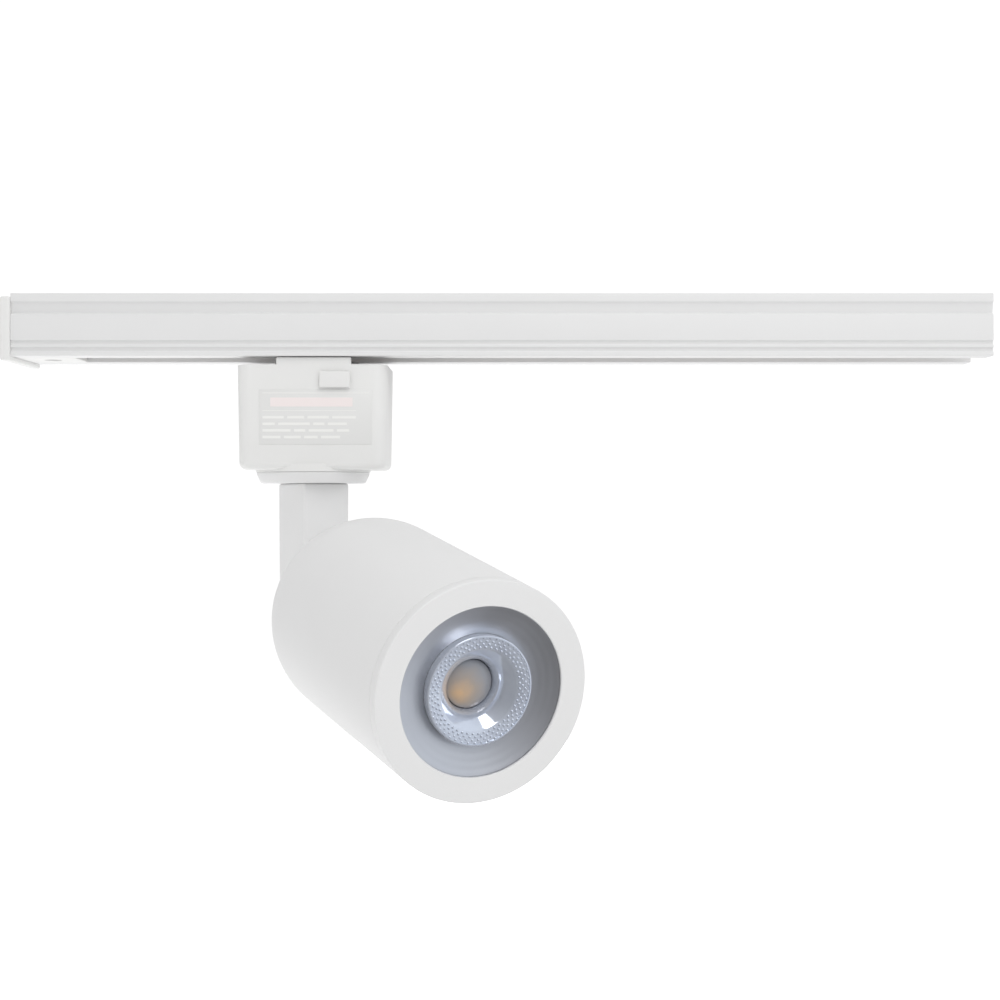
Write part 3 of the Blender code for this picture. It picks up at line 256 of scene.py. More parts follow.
def textured(
    name, colour, roughness, metallic=0.0, grain=1400.0, depth=0.04, mottle=60.0, shade=0.03, **sockets
):
    """A finish with a fine grain in its relief and a slow drift in its colour and roughness."""
    made, nodes, links, shader = new_material(name)
    place = nodes.new("ShaderNodeTexCoord")
    drift = nodes.new("ShaderNodeTexNoise")
    drift.inputs["Scale"].default_value = mottle
    drift.inputs["Detail"].default_value = 3.0
    links.new(place.outputs["Object"], drift.inputs["Vector"])
    tint = nodes.new("ShaderNodeMix")
    tint.data_type = "RGBA"
    tint.inputs[6].default_value = (*[c * (1 - shade) for c in colour], 1)
    tint.inputs[7].default_value = (*[min(1, c * (1 + shade)) for c in colour], 1)
    links.new(drift.outputs["Fac"], tint.inputs[0])
    links.new(tint.outputs[2], shader.inputs["Base Color"])
    rough = nodes.new("ShaderNodeMapRange")
    rough.inputs["To Min"].default_value = max(0.02, roughness - 0.05)
    rough.inputs["To Max"].default_value = roughness + 0.05
    links.new(drift.outputs["Fac"], rough.inputs["Value"])
    links.new(rough.outputs["Result"], shader.inputs["Roughness"])
    fine = nodes.new("ShaderNodeTexNoise")
    fine.inputs["Scale"].default_value = grain
    fine.inputs["Detail"].default_value = 2.0
    links.new(place.outputs["Object"], fine.inputs["Vector"])
    bump = nodes.new("ShaderNodeBump")
    bump.inputs["Strength"].default_value = depth
    bump.inputs["Distance"].default_value = 0.0004
    links.new(fine.outputs["Fac"], bump.inputs["Height"])
    links.new(bump.outputs["Normal"], shader.inputs["Normal"])
    shader.inputs["Metallic"].default_value = metallic
    for socket, value in sockets.items():
        shader.inputs[socket.replace("_", " ")].default_value = value
    return made


FINISH = {
    "white_paint": textured(
        "powder_coat",
        COLOURS["white_paint"],
        0.45,
        grain=1500,
        depth=0.05,
        shade=0.012,
        Specular_IOR_Level=0.3,
    ),
    "white_plastic": textured(
        "satin_moulding",
        COLOURS["white_plastic"],
        0.40,
        grain=2600,
        depth=0.03,
        shade=0.012,
        Specular_IOR_Level=0.3,
    ),
    "carrier_plastic": textured("carrier_extrusion", COLOURS["carrier_plastic"], 0.5),
    "nylon": textured("nylon_washer", COLOURS["nylon"], 0.5),
    "label_film": textured("label_film", (0.80, 0.80, 0.79), 0.3, grain=3000, depth=0.015, shade=0.01),
    "zinc_steel": textured("zinc_plate", COLOURS["zinc_steel"], 0.32, 1.0, mottle=300, shade=0.08),
    "copper": textured("copper_strip", COLOURS["copper"], 0.33, 1.0, mottle=200, shade=0.12),
    "brass": textured("brass_stamping", COLOURS["brass"], 0.3, 1.0, mottle=200, shade=0.1),
    "aluminium": textured("cast_aluminium", COLOURS["aluminium"], 0.42, 1.0, grain=900, depth=0.12),
    "led_board_white": textured("board_mask_white", COLOURS["led_board_white"], 0.35, shade=0.04),
    "phosphor": textured(
        "phosphor_gel", COLOURS["phosphor"], 0.45, grain=4000, depth=0.1, mottle=900, shade=0.12
    ),
    "driver_board_green": textured("board_mask_green", COLOURS["driver_board_green"], 0.35, shade=0.1),
    "winding_tape": textured("winding_tape", COLOURS["winding_tape"], 0.35, shade=0.08),
    "capacitor_sleeve": textured("capacitor_sleeve", COLOURS["capacitor_sleeve"], 0.3, shade=0.1),
    "chip_black": textured("chip_epoxy", COLOURS["chip_black"], 0.5, grain=4000, depth=0.1, shade=0.15),
    "lead_white": textured("lead_white", COLOURS["lead_white"], 0.45),
    "lead_red": textured("lead_red", COLOURS["lead_red"], 0.45, shade=0.06),
    "lead_black": textured("lead_black", COLOURS["lead_black"], 0.45, shade=0.15),
}


def silver_material():
    """Satin silver, a little bluish."""
    return textured(
        "spun_silver",
        (0.78, 0.79, 0.82),
        0.42,
        1.0,
        grain=500,
        depth=0.03,
        mottle=120,
        shade=0.04,
        Anisotropic=0.4,
    )


def clear_material():
    return textured(
        "clear_acrylic",
        (0.96, 0.98, 1.0),
        0.06,
        grain=800,
        depth=0.01,
        shade=0.01,
        Transmission_Weight=1.0,
        IOR=1.49,
    )


def collimator_material():
    """The collimator's wall, which shines by total reflection: a bluish silver under a clear skin."""
    return textured(
        "collimator_wall",
        (0.74, 0.79, 0.92),
        0.10,
        0.62,
        grain=600,
        depth=0.03,
        mottle=220,
        shade=0.15,
        Coat_Weight=1.0,
        Coat_Roughness=0.04,
    )


def painted_bulge_material():
    """The bulge over the phosphor, coloured with a painted refraction: the phosphor's orange, as its curve throws
    it to one side, fading through brown to painted grey shade.
    """
    made = textured(
        "bulge_painted_phosphor_view",
        (0.5, 0.5, 0.5),
        0.12,
        grain=900,
        depth=0.02,
        shade=0.0,
        Coat_Weight=1.0,
        Coat_Roughness=0.05,
    )
    nodes, links = made.node_tree.nodes, made.node_tree.links
    place = nodes.new("ShaderNodeTexCoord")
    aside = nodes.new("ShaderNodeVectorMath")
    aside.operation = "DISTANCE"
    # centre of the painted refraction: the phosphor's orange image, fixed on the head
    painted_glow_centre = HEAD @ Vector((-2.6 * MM, -1.8 * MM, 111.5 * MM))
    aside.inputs[1].default_value = painted_glow_centre
    links.new(place.outputs["Object"], aside.inputs[0])
    wobble = nodes.new("ShaderNodeTexNoise")
    wobble.inputs["Scale"].default_value = 350.0
    links.new(place.outputs["Object"], wobble.inputs["Vector"])
    reach = nodes.new("ShaderNodeMath")
    reach.operation = "MULTIPLY_ADD"
    reach.inputs[1].default_value = 2.5 * MM
    links.new(wobble.outputs["Fac"], reach.inputs[0])
    links.new(aside.outputs["Value"], reach.inputs[2])
    ramp = nodes.new("ShaderNodeValToRGB")
    shift = nodes.new("ShaderNodeMapRange")
    shift.inputs["From Min"].default_value = 0.0
    shift.inputs["From Max"].default_value = 10 * MM
    links.new(reach.outputs[0], shift.inputs["Value"])
    links.new(shift.outputs["Result"], ramp.inputs["Fac"])
    orange, brown, grey = (0.70, 0.46, 0.26, 1), (0.42, 0.36, 0.31, 1), (0.34, 0.35, 0.38, 1)
    stops = ramp.color_ramp.elements
    stops[0].position, stops[0].color = 0.1, orange
    stops[1].position, stops[1].color = 0.85, grey
    stops.new(0.5).color = brown
    links.new(ramp.outputs["Color"], nodes["Principled BSDF"].inputs["Base Color"])
    return made


FINISH["silver_dish"] = silver_material()
BULGE = painted_bulge_material()
FINISH["clear_lens"] = clear_material()
COLLIMATOR = collimator_material()
INK = textured("label_ink", (0.90, 0.90, 0.88), 0.4, grain=3000, depth=0.01, shade=0.02)
INK_WARM = textured("label_ink_warm", (0.92, 0.84, 0.83), 0.4, grain=3000, depth=0.01, shade=0.02)
# a dark grey that paints the shadow ring in the lens bore round the emitter and bulge
PAINTED_SHADOW_GREY = textured("lens_shadow_ring", (0.30, 0.31, 0.34), 0.35, shade=0.1)


# Track -------------------------------------------------------------------------------------------------

def track_outline():
    """The section: a top web, two sides with their bands and grooves, and two lips beside the slot."""
    side, height, web, inside, slot, lip = 17.5, 18.0, 1.5, 15.2, 8.8, 1.5
    groove, waist, hook, hook_top = side - 0.6, side - 1.2, slot + 0.9, lip - height + 0.8
    top_band = [(side, 0), (side, -2.4), (groove, -2.8), (waist, -5.5), (side, -6.1)]
    upper_groove = [(side, -13.5), (groove, -13.8), (groove, -14.6), (side, -14.9)]
    lower_groove = [(side, -15.5), (groove, -15.8), (groove, -16.6), (side, -16.9)]
    foot = [(side, -height), (slot, -height), (slot, hook_top), (hook, hook_top), (hook, lip - height)]
    half = top_band + upper_groove + lower_groove + foot + [(inside, lip - height), (inside, -web)]
    half = [(y * MM, z * MM) for y, z in half]
    return half + [(-y, z) for y, z in reversed(half)]


CEILING_HOLES = (-0.045, 0.160)  # places along the track
CEILING_HOLE_RADIUS = 2.2 * MM


def make_track():
    low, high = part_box("track_body")
    body = extruded("track_extrusion", track_outline(), low.x, high.x, ALONG_X)
    ease_edges(body, 0.16 * MM, 2, 20)
    above, below = 1 * MM, -3 * MM
    holes = []
    for i, x in enumerate(CEILING_HOLES):
        holes.append(rod(f"hole_{i}", CEILING_HOLE_RADIUS, (x, 0, above), (x, 0, below)))
    combine(body, "DIFFERENCE", *holes)
    stands_for(body, "track", "white_paint", FINISH["white_paint"], "track_body")


def make_end_cap():
    low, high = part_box("end_cap")
    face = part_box("track_body")[0].x - 0.02 * MM
    cap = block("end_cap_flange", low, (face, high.y, high.z), rounding=0.7 * MM, segments=4)
    root, plug_half, shoulder_half, easing = face - 0.3 * MM, 8.5 * MM, 9.7 * MM, 0.3 * MM
    start, end = (root, -plug_half, -18.0 * MM), (high.x, plug_half, -4 * MM)
    plug = block("end_cap_plug", start, end, rounding=easing)
    start, end = (root, -shoulder_half, -15.2 * MM), (high.x, shoulder_half, -3 * MM)
    shoulder = block("shoulder", start, end, rounding=easing)
    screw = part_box("end_cap_screw")
    x = (screw[0].x + screw[1].x) / 2
    hole = rod("hole", 3.1 * MM, (x, 0, -19 * MM), (x, 0, -16.4 * MM), end_radius=1.7 * MM)
    deep = rod("deep", 1.75 * MM, (x, 0, -17 * MM), (x, 0, -3.5 * MM))
    combine(plug, "UNION", shoulder)
    combine(cap, "UNION", plug)
    combine(cap, "DIFFERENCE", hole, deep)
    stands_for(cap, "track", "white_plastic", FINISH["white_plastic"], "end_cap")


# Adapter -----------------------------------------------------------------------------------------------

def box_shape(name, inset, top, bottom, edge, corner_steps, edge_steps):
    """A box with rounded upright edges, a little draft and a rounded foot, centred on the adapter's cover."""
    low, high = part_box("adapter_cover")
    centre_x = (low.x + high.x) / 2
    half_x, half_y, corner, draft = 21.8 * MM, 16.2 * MM, 4.0 * MM, 21.3 / 21.8
    bm = bmesh.new()
    bmesh.ops.create_cube(bm, size=1.0)
    bmesh.ops.scale(bm, vec=(2 * (half_x - inset), 2 * (half_y - inset), top - bottom), verts=bm.verts)
    upright = [e for e in bm.edges if abs(e.verts[0].co.z - e.verts[1].co.z) > MM]
    corner -= inset
    bmesh.ops.bevel(bm, geom=upright, offset=corner, segments=corner_steps, profile=0.5, affect="EDGES")
    for vert in bm.verts:
        if vert.co.z < 0:
            vert.co.x *= draft
    foot = [e for e in bm.edges if e.verts[0].co.z < 0 and e.verts[1].co.z < 0]
    bmesh.ops.bevel(bm, geom=foot, offset=edge, segments=edge_steps, profile=0.5, affect="EDGES")
    bmesh.ops.translate(bm, vec=(centre_x, 0, (top + bottom) / 2), verts=bm.verts)
    return add(name, bm)


def make_housing():
    """A rounded box whose front and rear walls rise in the middle to a rim under the track."""
    top, bottom, wall, box_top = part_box("adapter_housing")[1].z, -50.6 * MM, 2.0 * MM, -20.4 * MM
    shell = box_shape("adapter_shell", 0, top, bottom, 2.0 * MM, 10, 6)
    rim_left, rim_right, beyond, past = -9.1 * MM, 12.4 * MM, 30 * MM, 20 * MM
    left = block("rim_end_0", (-beyond, -past, box_top), (rim_left, past, -15 * MM))
    right = block("rim_end_1", (rim_right, -past, box_top), (beyond, past, -15 * MM))
    combine(shell, "DIFFERENCE", left, right)
    ease_edges(shell, 0.25 * MM, 2, 60)
    room = box_shape("room", wall, top + 3 * MM, bottom + wall, 0.5 * MM, 6, 2)
    radius, root, foot, easing = 16.9 * MM, -48.9 * MM, -51.2 * MM, 0.1 * MM
    profile = [(0, root), (radius, root), (radius, foot + easing), (radius - easing, foot), (0, foot)]
    pedestal = turned("pedestal", profile)
    hole = rod("hole", 5.3 * MM, (0, 0, -55 * MM), (0, 0, -45 * MM))
    window = block("window", (4.4 * MM, -19 * MM, -26.9 * MM), (11.2 * MM, -13 * MM, -22.6 * MM))
    combine(shell, "DIFFERENCE", room)
    combine(shell, "UNION", pedestal)
    combine(shell, "DIFFERENCE", hole, window)
    stands_for(shell, "adapter", "white_plastic", FINISH["white_plastic"], "adapter_housing")


def make_latch():
    """The tongue in the track's slot, and the low button in front of the adapter that pulls it down."""
    low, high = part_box("release_latch")
    front, half_x, half_y = low.y, 10.3 * MM, 8.4 * MM
    start, end = (-half_x, -half_y, -26.5 * MM), (half_x, half_y, high.z)
    tongue = block("latch_tongue", start, end, rounding=0.5 * MM)
    stem = block("stem", (4.7 * MM, front + 0.3 * MM, -24.3 * MM), (10.9 * MM, -7 * MM, -22.9 * MM))
    button_low, button_high = (3.4 * MM, front, -27.1 * MM), (12.2 * MM, front + 0.7 * MM, -22.4 * MM)
    button = block("button", button_low, button_high, rounding=0.3 * MM, segments=4)
    hole = rod("hole", 6.9 * MM, (0, 0, -30 * MM), (0, 0, -15 * MM))
    combine(tongue, "UNION", stem)
    combine(tongue, "UNION", button)
    combine(tongue, "DIFFERENCE", hole)
    stands_for(tongue, "latch", "white_plastic", FINISH["white_plastic"], "release_latch")


def make_springs():
    """The two coils under the latch's tongue, drawn at one length on the adapter; on the real lamp they shorten as
    it comes down.
    """
    turns, per_turn, wire = 4, 24, 0.2 * MM
    count = turns * per_turn
    for side in ("left", "right"):
        low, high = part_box(f"latch_spring_{side}")
        middle, radius = (low + high) / 2, (high.x - low.x) / 2 - wire
        foot, top = low.z + wire, high.z - wire
        route = []
        for i in range(count + 1):
            angle = 2 * math.pi * i / per_turn
            x, y = middle.x + radius * math.cos(angle), middle.y + radius * math.sin(angle)
            route.append((x, y, foot + (top - foot) * i / count))
        coil = wound(f"spring_{side}", wire, route)
        stands_for(coil, "adapter", "zinc_steel", FINISH["zinc_steel"], f"latch_spring_{side}")
        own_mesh(coil)


def make_label():
    """A film with blank printed bars: one broad, a fine frame line and four rows of short ones."""
    low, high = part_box("rating_label")
    face = high.y + 0.03 * MM
    start, end = (low.x, face - 0.10 * MM, low.z), (high.x, face, high.z)
    film = block("label_film", start, end, rounding=0.04 * MM, segments=2)
    stands_for(film, "adapter", "label_film", FINISH["label_film"], "rating_label")
    ink = face - 0.115 * MM
    width = high.x - low.x

    def bar(name, start, end, top, bottom, finish):
        corner = (low.x + start * width, ink, high.z + bottom * MM)
        far = (low.x + end * width, face - 0.05 * MM, high.z + top * MM)
        stands_for(block(name, corner, far), "adapter", "label_film", finish)

    bar("label_rule", 0.03, 0.97, -0.9, -1.1, INK)
    bar("label_title_bar", 0.10, 0.83, -2.3, -4.9, INK_WARM)
    bar("label_title_rule", 0.03, 0.86, -6.0, -6.2, INK)
    rows = (
        (-7.6, ((0.03, 0.22), (0.25, 0.40), (0.43, 0.62), (0.65, 0.86))),
        (-9.5, ((0.03, 0.14), (0.17, 0.45), (0.48, 0.58), (0.61, 0.78))),
        (-11.4, ((0.03, 0.28), (0.31, 0.41), (0.44, 0.66), (0.69, 0.80))),
        (-13.3, ((0.03, 0.19), (0.22, 0.37), (0.40, 0.52), (0.55, 0.72))),
    )
    for r, (height, spans) in enumerate(rows):
        for c, (start, end) in enumerate(spans):
            bar(f"label_bar_{r + 1}_{c + 1}", start, end, height, height - 0.75, INK)


# Swivel and arm ----------------------------------------------------------------------------------------

def make_collar():
    low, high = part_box("swivel_collar")
    outer, foot, bore = 16.6 * MM, 15.0 * MM, 5.3 * MM
    top, edge = high.z + 0.06 * MM, 0.1 * MM
    profile = [(bore, top)] + arc((outer - edge, top - edge), edge, 90, 0, 3) + [(outer, high.z - 0.6 * MM)]
    profile += arc((foot - 0.1 * MM, low.z + 0.8 * MM), 0.8 * MM, -20, -90, 7)
    profile += [(bore, low.z)]
    stands_for(turned("collar", profile), "swivel", "white_paint", FINISH["white_paint"], "swivel_collar")


def make_arm():
    top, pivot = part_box("arm")[1].z + 0.25 * MM, PIVOT.z
    half_depth, end, half_width = 11.0 * MM, 10.5 * MM, 7.05 * MM
    outline = [(-half_depth, top), (half_depth, top)] + arc((0, pivot), end, 0, -180, 41)
    arm = extruded("arm_shell", outline, -half_width, half_width, ALONG_X)
    ease_edges(arm, 0.8 * MM, 5, 40)
    reach, pocket = 14 * MM, 9.0 * MM
    room = [(-reach, pivot - reach), (-reach, pivot + pocket)] + arc((0, pivot), pocket, 90, 0, 17)
    slot = extruded("slot", room + [(pocket, pivot - reach)], -3.5 * MM, 3.5 * MM, ALONG_X)
    socket = rod("socket", 5.3 * MM, (0, 0, -62.3 * MM), (0, 0, -50 * MM))
    channel = rod("channel", 2.5 * MM, (0, 0, -76 * MM), (0, 0, -61 * MM))
    grub = rod("grub", 1.75 * MM, (0, 4 * MM, -58.5 * MM), (0, 13 * MM, -58.5 * MM))
    pin = rod("pin", 2.3 * MM, (0, 0, pivot), (8 * MM, 0, pivot))
    sink = rod("sink", 2.2 * MM, (5.3 * MM, 0, pivot), (7.4 * MM, 0, pivot), end_radius=4.2 * MM)
    combine(arm, "DIFFERENCE", slot, socket, channel, grub)
    combine(arm, "DIFFERENCE", pin)
    combine(arm, "DIFFERENCE", sink)
    arm.data.transform(SWIVEL)
    stands_for(arm, "swivel", "white_paint", FINISH["white_paint"], "arm")


# Head --------------------------------------------------------------------------------------------------

HEAD_RADIUS = 28.0 * MM
HEAD_REAR = 21.0 * MM
HEAD_FRONT = 118.8 * MM
SEAM = 115.5 * MM
OPENING = 21.4 * MM
DISH_RIM = 117.8 * MM
DISH_FLOOR = 115.2 * MM
DISH_CURVE = 1.2  # power of the bowl's fall from the rim to the lens
LENS_RADIUS = 13.9 * MM
LENS_FRONT = 118.0 * MM
LENS_BACK = 107.4 * MM
CRATER_RADIUS = 10.4 * MM
BULGE_RADIUS = 6.3 * MM
BULGE_FOOT = 110.8 * MM
# The crater's wall from the bulge up to the beads, as (radius, height) in mm
CRATER_WALL = (
    (6.3, 110.8),
    (6.5, 111.8),
    (6.8, 112.8),
    (7.25, 113.7),
    (7.85, 114.5),
    (8.5, 115.2),
    (9.2, 115.88),
    (9.9, 116.54),
    (10.4, 117.0),
)


def make_head_body():
    centre = (0, HEAD_REAR + HEAD_RADIUS)
    inner = HEAD_RADIUS - 3 * MM
    profile = [(0, centre[1] - inner)] + arc(centre, inner, -89, 0, 24)
    profile += [(inner, 88 * MM), (26 * MM, 88 * MM), (26 * MM, SEAM)]
    profile += arc((HEAD_RADIUS - 0.2 * MM, SEAM - 0.2 * MM), 0.2 * MM, 90, 0, 4)
    profile += arc(centre, HEAD_RADIUS, 0, -89.3, 60) + [(0, HEAD_REAR)]
    body = turned("head_shell", profile)
    tongue = arc((0, 0), 8.3 * MM, 0, -180, 33)
    tongue += [(-8.3 * MM, 14 * MM), (-10 * MM, 25.5 * MM), (10 * MM, 25.5 * MM), (8.3 * MM, 14 * MM)]
    blade = extruded("tongue", tongue, -2.4 * MM, 2.4 * MM, ALONG_X)
    ease_edges(blade, 0.3 * MM, 3, 40)
    combine(body, "UNION", blade)
    hole = rod("hole", 2.3 * MM, (-8 * MM, 0, 0), (8 * MM, 0, 0))
    lead = rod("lead", 2.0 * MM, (7 * MM, 0, 15 * MM), (7 * MM, 0, 35 * MM))
    combine(body, "DIFFERENCE", hole, lead)
    body.data.transform(HEAD)
    stands_for(body, "head", "white_paint", FINISH["white_paint"], "head_body")


def make_front_ring():
    edge, lip = 0.45 * MM, 0.7 * MM
    back = SEAM + 0.03 * MM
    profile = [(OPENING + 0.2 * MM, HEAD_FRONT)]
    profile += arc((HEAD_RADIUS - edge, HEAD_FRONT - edge), edge, 90, 0, 8)
    profile += arc((HEAD_RADIUS - 0.12 * MM, back + 0.12 * MM), 0.12 * MM, 0, -90, 3)
    spigot_outer, spigot_inner, spigot_back = 25.6 * MM, 24.4 * MM, 105 * MM
    profile += [(spigot_outer, back), (spigot_outer, spigot_back)]
    profile += [(spigot_inner, spigot_back), (spigot_inner, HEAD_FRONT - lip)]
    profile += [(OPENING, HEAD_FRONT - lip), (OPENING, HEAD_FRONT - 0.2 * MM)]
    ring = turned("bezel", profile, HEAD)
    stands_for(ring, "head", "white_paint", FINISH["white_paint"], "front_ring")


def make_dish():
    """A bowl, steep at the rim and flat at the lens, with shallow turned steps."""
    outer, inner = OPENING - 0.15 * MM, LENS_RADIUS + 0.06 * MM
    depth = DISH_RIM - DISH_FLOOR
    bowl = []
    count, steps, step_height = 60, 4, 0.008 * MM
    for i in range(count + 1):
        share = i / count
        step = step_height * math.sin(share * steps * 2 * math.pi)
        fall = 1 - (1 - share) ** DISH_CURVE
        bowl.append((outer + (inner - outer) * share, DISH_RIM - depth * fall + step))
    back = [(inner, DISH_FLOOR - 0.7 * MM), (outer - 1.5 * MM, DISH_FLOOR + 0.4 * MM)]
    back += [(outer + 0.6 * MM, DISH_RIM - 0.8 * MM)]
    flange_radius = 24.1 * MM
    flange = [(flange_radius, DISH_RIM - 0.7 * MM), (flange_radius, DISH_RIM)]
    dish = turned("silver_bowl", bowl + back + flange, HEAD, smooth=60)
    stands_for(dish, "head", "silver_dish", FINISH["silver_dish"], "dish")


def make_lens():
    """The collimator: its rim with rows of beads, its crater, and the bulge over the emitter, clear on the real
    lamp and here opaque with a painted refraction of the phosphor.
    """
    sides, easing = 96, 0.3 * MM
    wall = [(radius * MM, height * MM) for radius, height in CRATER_WALL]
    wall.append((LENS_RADIUS - 0.6 * MM, LENS_FRONT - 0.75 * MM))
    wall.append((LENS_RADIUS - 0.5 * MM, LENS_FRONT - 0.4 * MM))
    rim = arc((LENS_RADIUS - easing, LENS_FRONT - 0.7 * MM), easing, 90, 0, 5)
    skirt = DISH_FLOOR - 0.3 * MM
    behind = [(LENS_RADIUS, skirt), (LENS_RADIUS - 0.1 * MM, skirt)]
    behind += [(6.8 * MM, LENS_BACK), (BULGE_RADIUS - 0.4 * MM, LENS_BACK)]
    body = turned("collimator", wall + rim + behind, HEAD, steps=sides, smooth=40)
    stands_for(body, "head", "clear_lens", COLLIMATOR, "lens")

    radius, foot, rise, count = BULGE_RADIUS - 0.1 * MM, BULGE_FOOT - 0.1 * MM, 1.6 * MM, 12
    bulge = [(0, foot + rise)]
    for i in range(1, count + 1):
        angle = math.radians(90 * i / count)
        bulge.append((radius * math.sin(angle), foot + rise * math.cos(angle)))
    back = foot - 0.4 * MM
    bulge += [(radius, back), (0, back)]
    # the bulge's colour is a painted view of the phosphor through clear plastic, with painted shade
    stands_for(turned("lens_bulge", bulge, HEAD, steps=72, smooth=60), "head", "clear_lens", BULGE)
    make_beads()


def make_beads():
    """Rows of small domes on the rim, each row half a pitch round from the last."""
    rows, per_row, size, row_pitch = 4, 46, 0.44 * MM, 0.78 * MM
    first_row, first_height, climb = CRATER_RADIUS + 0.45 * MM, LENS_FRONT - 0.97 * MM, 0.03 * MM
    round_row = CRATER_RADIUS + 1.6 * MM  # where a bead is as long round the rim as its size
    bm = bmesh.new()
    for row in range(rows):
        radius = first_row + row * row_pitch
        height = first_height + climb * row
        for i in range(per_row):
            angle = 2 * math.pi * (i + 0.5 * (row % 2)) / per_row
            place = Matrix.Translation((radius * math.cos(angle), radius * math.sin(angle), height))
            turn = Matrix.Rotation(angle, 4, "Z")
            shape = Matrix.Diagonal((0.85, radius / round_row, 0.9, 1))
            bmesh.ops.create_icosphere(bm, subdivisions=2, radius=size, matrix=place @ turn @ shape)
    stands_for(add("lens_beads", bm, HEAD, 60), "head", "clear_lens", COLLIMATOR)


def make_emitter():
    radius, back, front, easing = 5.5 * MM, 106.3 * MM, 107.1 * MM, 0.3 * MM
    profile = [(0, front), (radius - easing, front)]
    profile += arc((radius - easing, front - easing), easing, 90, 0, 4) + [(radius, back), (0, back)]
    disc = turned("emitter_disc", profile, HEAD, steps=MEDIUM)
    stands_for(disc, "head", "phosphor", FINISH["phosphor"], "led_emitter")
    # a thin tube in painted shadow grey, lining the lens bore to put a dark shadow ring round the bulge
    inner, outer, top, foot = 5.7 * MM, 6.2 * MM, 110.2 * MM, 107.5 * MM
    tube = [(inner, top), (outer, top), (outer, foot), (inner, foot)]
    stands_for(turned("emitter_painted_shadow_tube", tube, HEAD, steps=MEDIUM), "head", "clear_lens", PAINTED_SHADOW_GREY)


def finish_cad_nodes():
    """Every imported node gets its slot's finish, so those that stay in view are as good as the new pieces."""
    for name, obj in frame["nodes"].items():
        obj.data.materials.clear()
        obj.data.materials.append(FINISH[SLOTS[name]])


# Studio ------------------------------------------------------------------------------------------------

def make_camera():
    data = bpy.data.cameras.new("camera")
    data.lens = CAMERA_LENS
    data.sensor_width = CAMERA_SENSOR
    data.clip_start = 0.01
    camera = bpy.data.objects.new("camera", data)
    camera.location = CAMERA_PLACE
    camera.rotation_euler = (math.radians(90), 0, 0)
    bpy.context.scene.collection.objects.link(camera)
    bpy.context.scene.camera = camera


def make_floor():
    """A pale seamless floor, white to the eye."""
    low, high = (-FLOOR_HALF, -FLOOR_HALF, FLOOR_TOP - 0.02), (FLOOR_HALF, FLOOR_HALF, FLOOR_TOP)
    floor = block("floor", low, high)
    made = textured("pale_floor", (0.93, 0.93, 0.93), 0.8, grain=40, depth=0.02, mottle=2, shade=0.01)
    nodes, links = made.node_tree.nodes, made.node_tree.links
    path = nodes.new("ShaderNodeLightPath")
    shader = nodes["Principled BSDF"]
    shader.inputs["Emission Color"].default_value = (1, 1, 1, 1)
    glow = nodes.new("ShaderNodeMapRange")
    glow.inputs["To Min"].default_value = FLOOR_GLOW
    links.new(path.outputs["Is Camera Ray"], glow.inputs["Value"])
    links.new(glow.outputs["Result"], shader.inputs["Emission Strength"])
    floor.data.materials.append(made)
    floor.visible_glossy = False


def area_light(name, place, target, size, power):
    data = bpy.data.lights.new(name, "AREA")
    data.shape = "RECTANGLE"
    data.size, data.size_y = size
    data.energy = power
    light = bpy.data.objects.new(name, data)
    light.location = place
    light.rotation_euler = (Vector(target) - Vector(place)).to_track_quat("-Z", "Y").to_euler()
    light.visible_camera = False
    light.visible_glossy = name == GLOSSY_LIGHT
    bpy.context.scene.collection.objects.link(light)


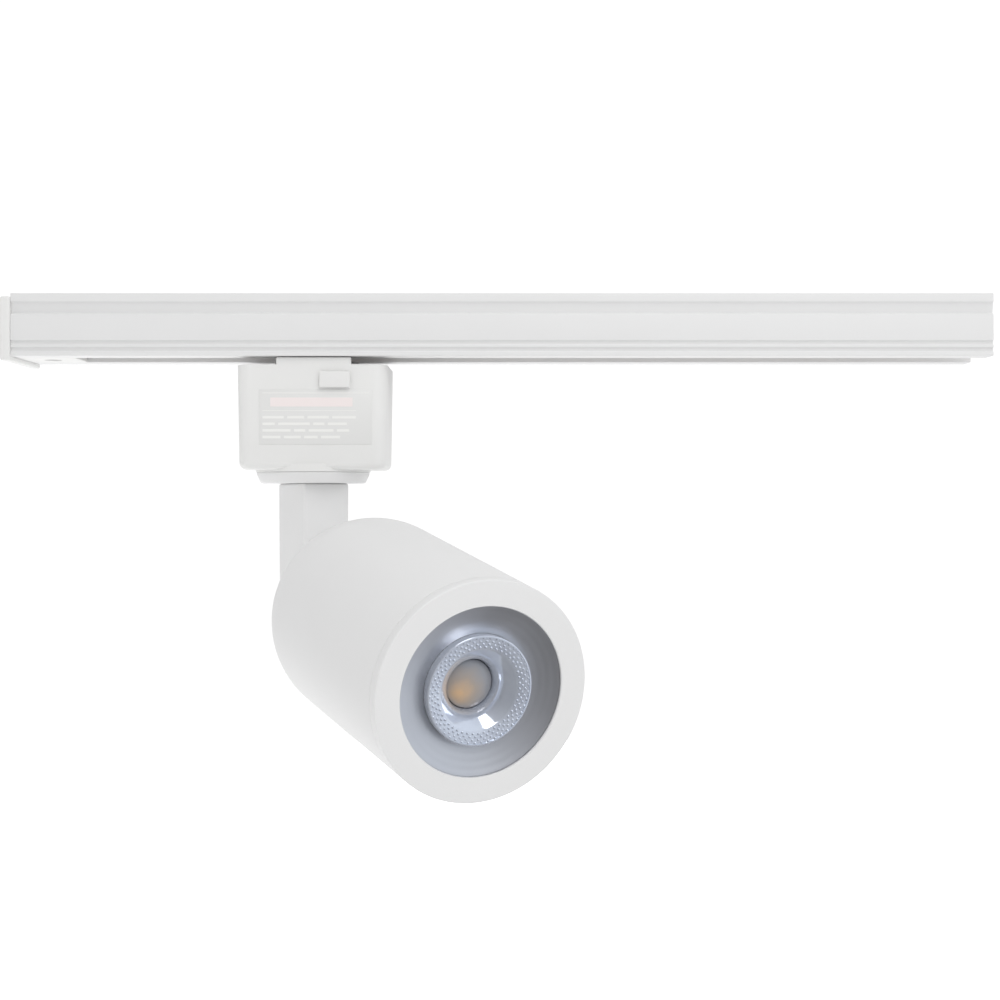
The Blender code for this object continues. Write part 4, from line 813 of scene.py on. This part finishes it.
def make_world():
    """White to the eye, even for soft light, and uneven for reflections.

    Reflections see it bright on the upper right, dark on the lower left and white behind.
    """
    world = bpy.data.worlds.new("studio")
    bpy.context.scene.world = world
    world.use_nodes = True
    nodes, links = world.node_tree.nodes, world.node_tree.links
    nodes.clear()
    place = nodes.new("ShaderNodeTexCoord")
    lean = nodes.new("ShaderNodeVectorMath")
    lean.operation = "DOT_PRODUCT"
    lean.inputs[1].default_value = GLEAM_FROM
    links.new(place.outputs["Generated"], lean.inputs[0])
    shift = nodes.new("ShaderNodeMapRange")
    shift.inputs["From Min"].default_value = -1.0
    shift.inputs["From Max"].default_value = 1.0
    links.new(lean.outputs["Value"], shift.inputs["Value"])
    ramp = nodes.new("ShaderNodeValToRGB")
    stops = ramp.color_ramp.elements
    stops[0].position, stops[0].color = GLEAM_DARK
    stops[1].position, stops[1].color = GLEAM_BRIGHT
    stops.new(GLEAM_MIDDLE[0]).color = GLEAM_MIDDLE[1]
    links.new(shift.outputs["Result"], ramp.inputs["Fac"])
    path = nodes.new("ShaderNodeLightPath")

    def background(strength, colour=None):
        node = nodes.new("ShaderNodeBackground")
        node.inputs["Strength"].default_value = strength
        if colour:
            node.inputs["Color"].default_value = (*colour, 1)
        return node

    white = (1, 1, 1)
    gleam, even, seen = background(1.0), background(SOFT_LIGHT, white), background(SEEN_LIGHT, white)
    behind = nodes.new("ShaderNodeVectorMath")
    behind.operation = "DOT_PRODUCT"
    behind.inputs[1].default_value = (0, 1, 0)
    links.new(place.outputs["Generated"], behind.inputs[0])
    nearness = nodes.new("ShaderNodeMapRange")
    nearness.inputs["From Min"].default_value = BACKDROP_EDGES[0]
    nearness.inputs["From Max"].default_value = BACKDROP_EDGES[1]
    links.new(behind.outputs["Value"], nearness.inputs["Value"])
    backdrop = nodes.new("ShaderNodeMix")
    backdrop.data_type = "RGBA"
    backdrop.inputs[7].default_value = BACKDROP
    links.new(nearness.outputs["Result"], backdrop.inputs[0])
    links.new(ramp.outputs["Color"], backdrop.inputs[6])
    links.new(backdrop.outputs[2], gleam.inputs["Color"])
    below = even.outputs[0]
    for test, chosen in (("Is Glossy Ray", gleam), ("Is Camera Ray", seen)):
        mix = nodes.new("ShaderNodeMixShader")
        links.new(path.outputs[test], mix.inputs["Fac"])
        links.new(below, mix.inputs[1])
        links.new(chosen.outputs[0], mix.inputs[2])
        below = mix.outputs[0]
    output = nodes.new("ShaderNodeOutputWorld")
    links.new(below, output.inputs["Surface"])


bpy.context.scene.view_settings.view_transform = "Standard"
make_camera()
make_world()
for light in LIGHTS:
    area_light(*light)
make_floor()
finish_cad_nodes()
make_track()
make_end_cap()
make_housing()
make_latch()
make_springs()
make_label()
make_collar()
make_arm()
make_head_body()
make_front_ring()
make_dish()
make_lens()
make_emitter()
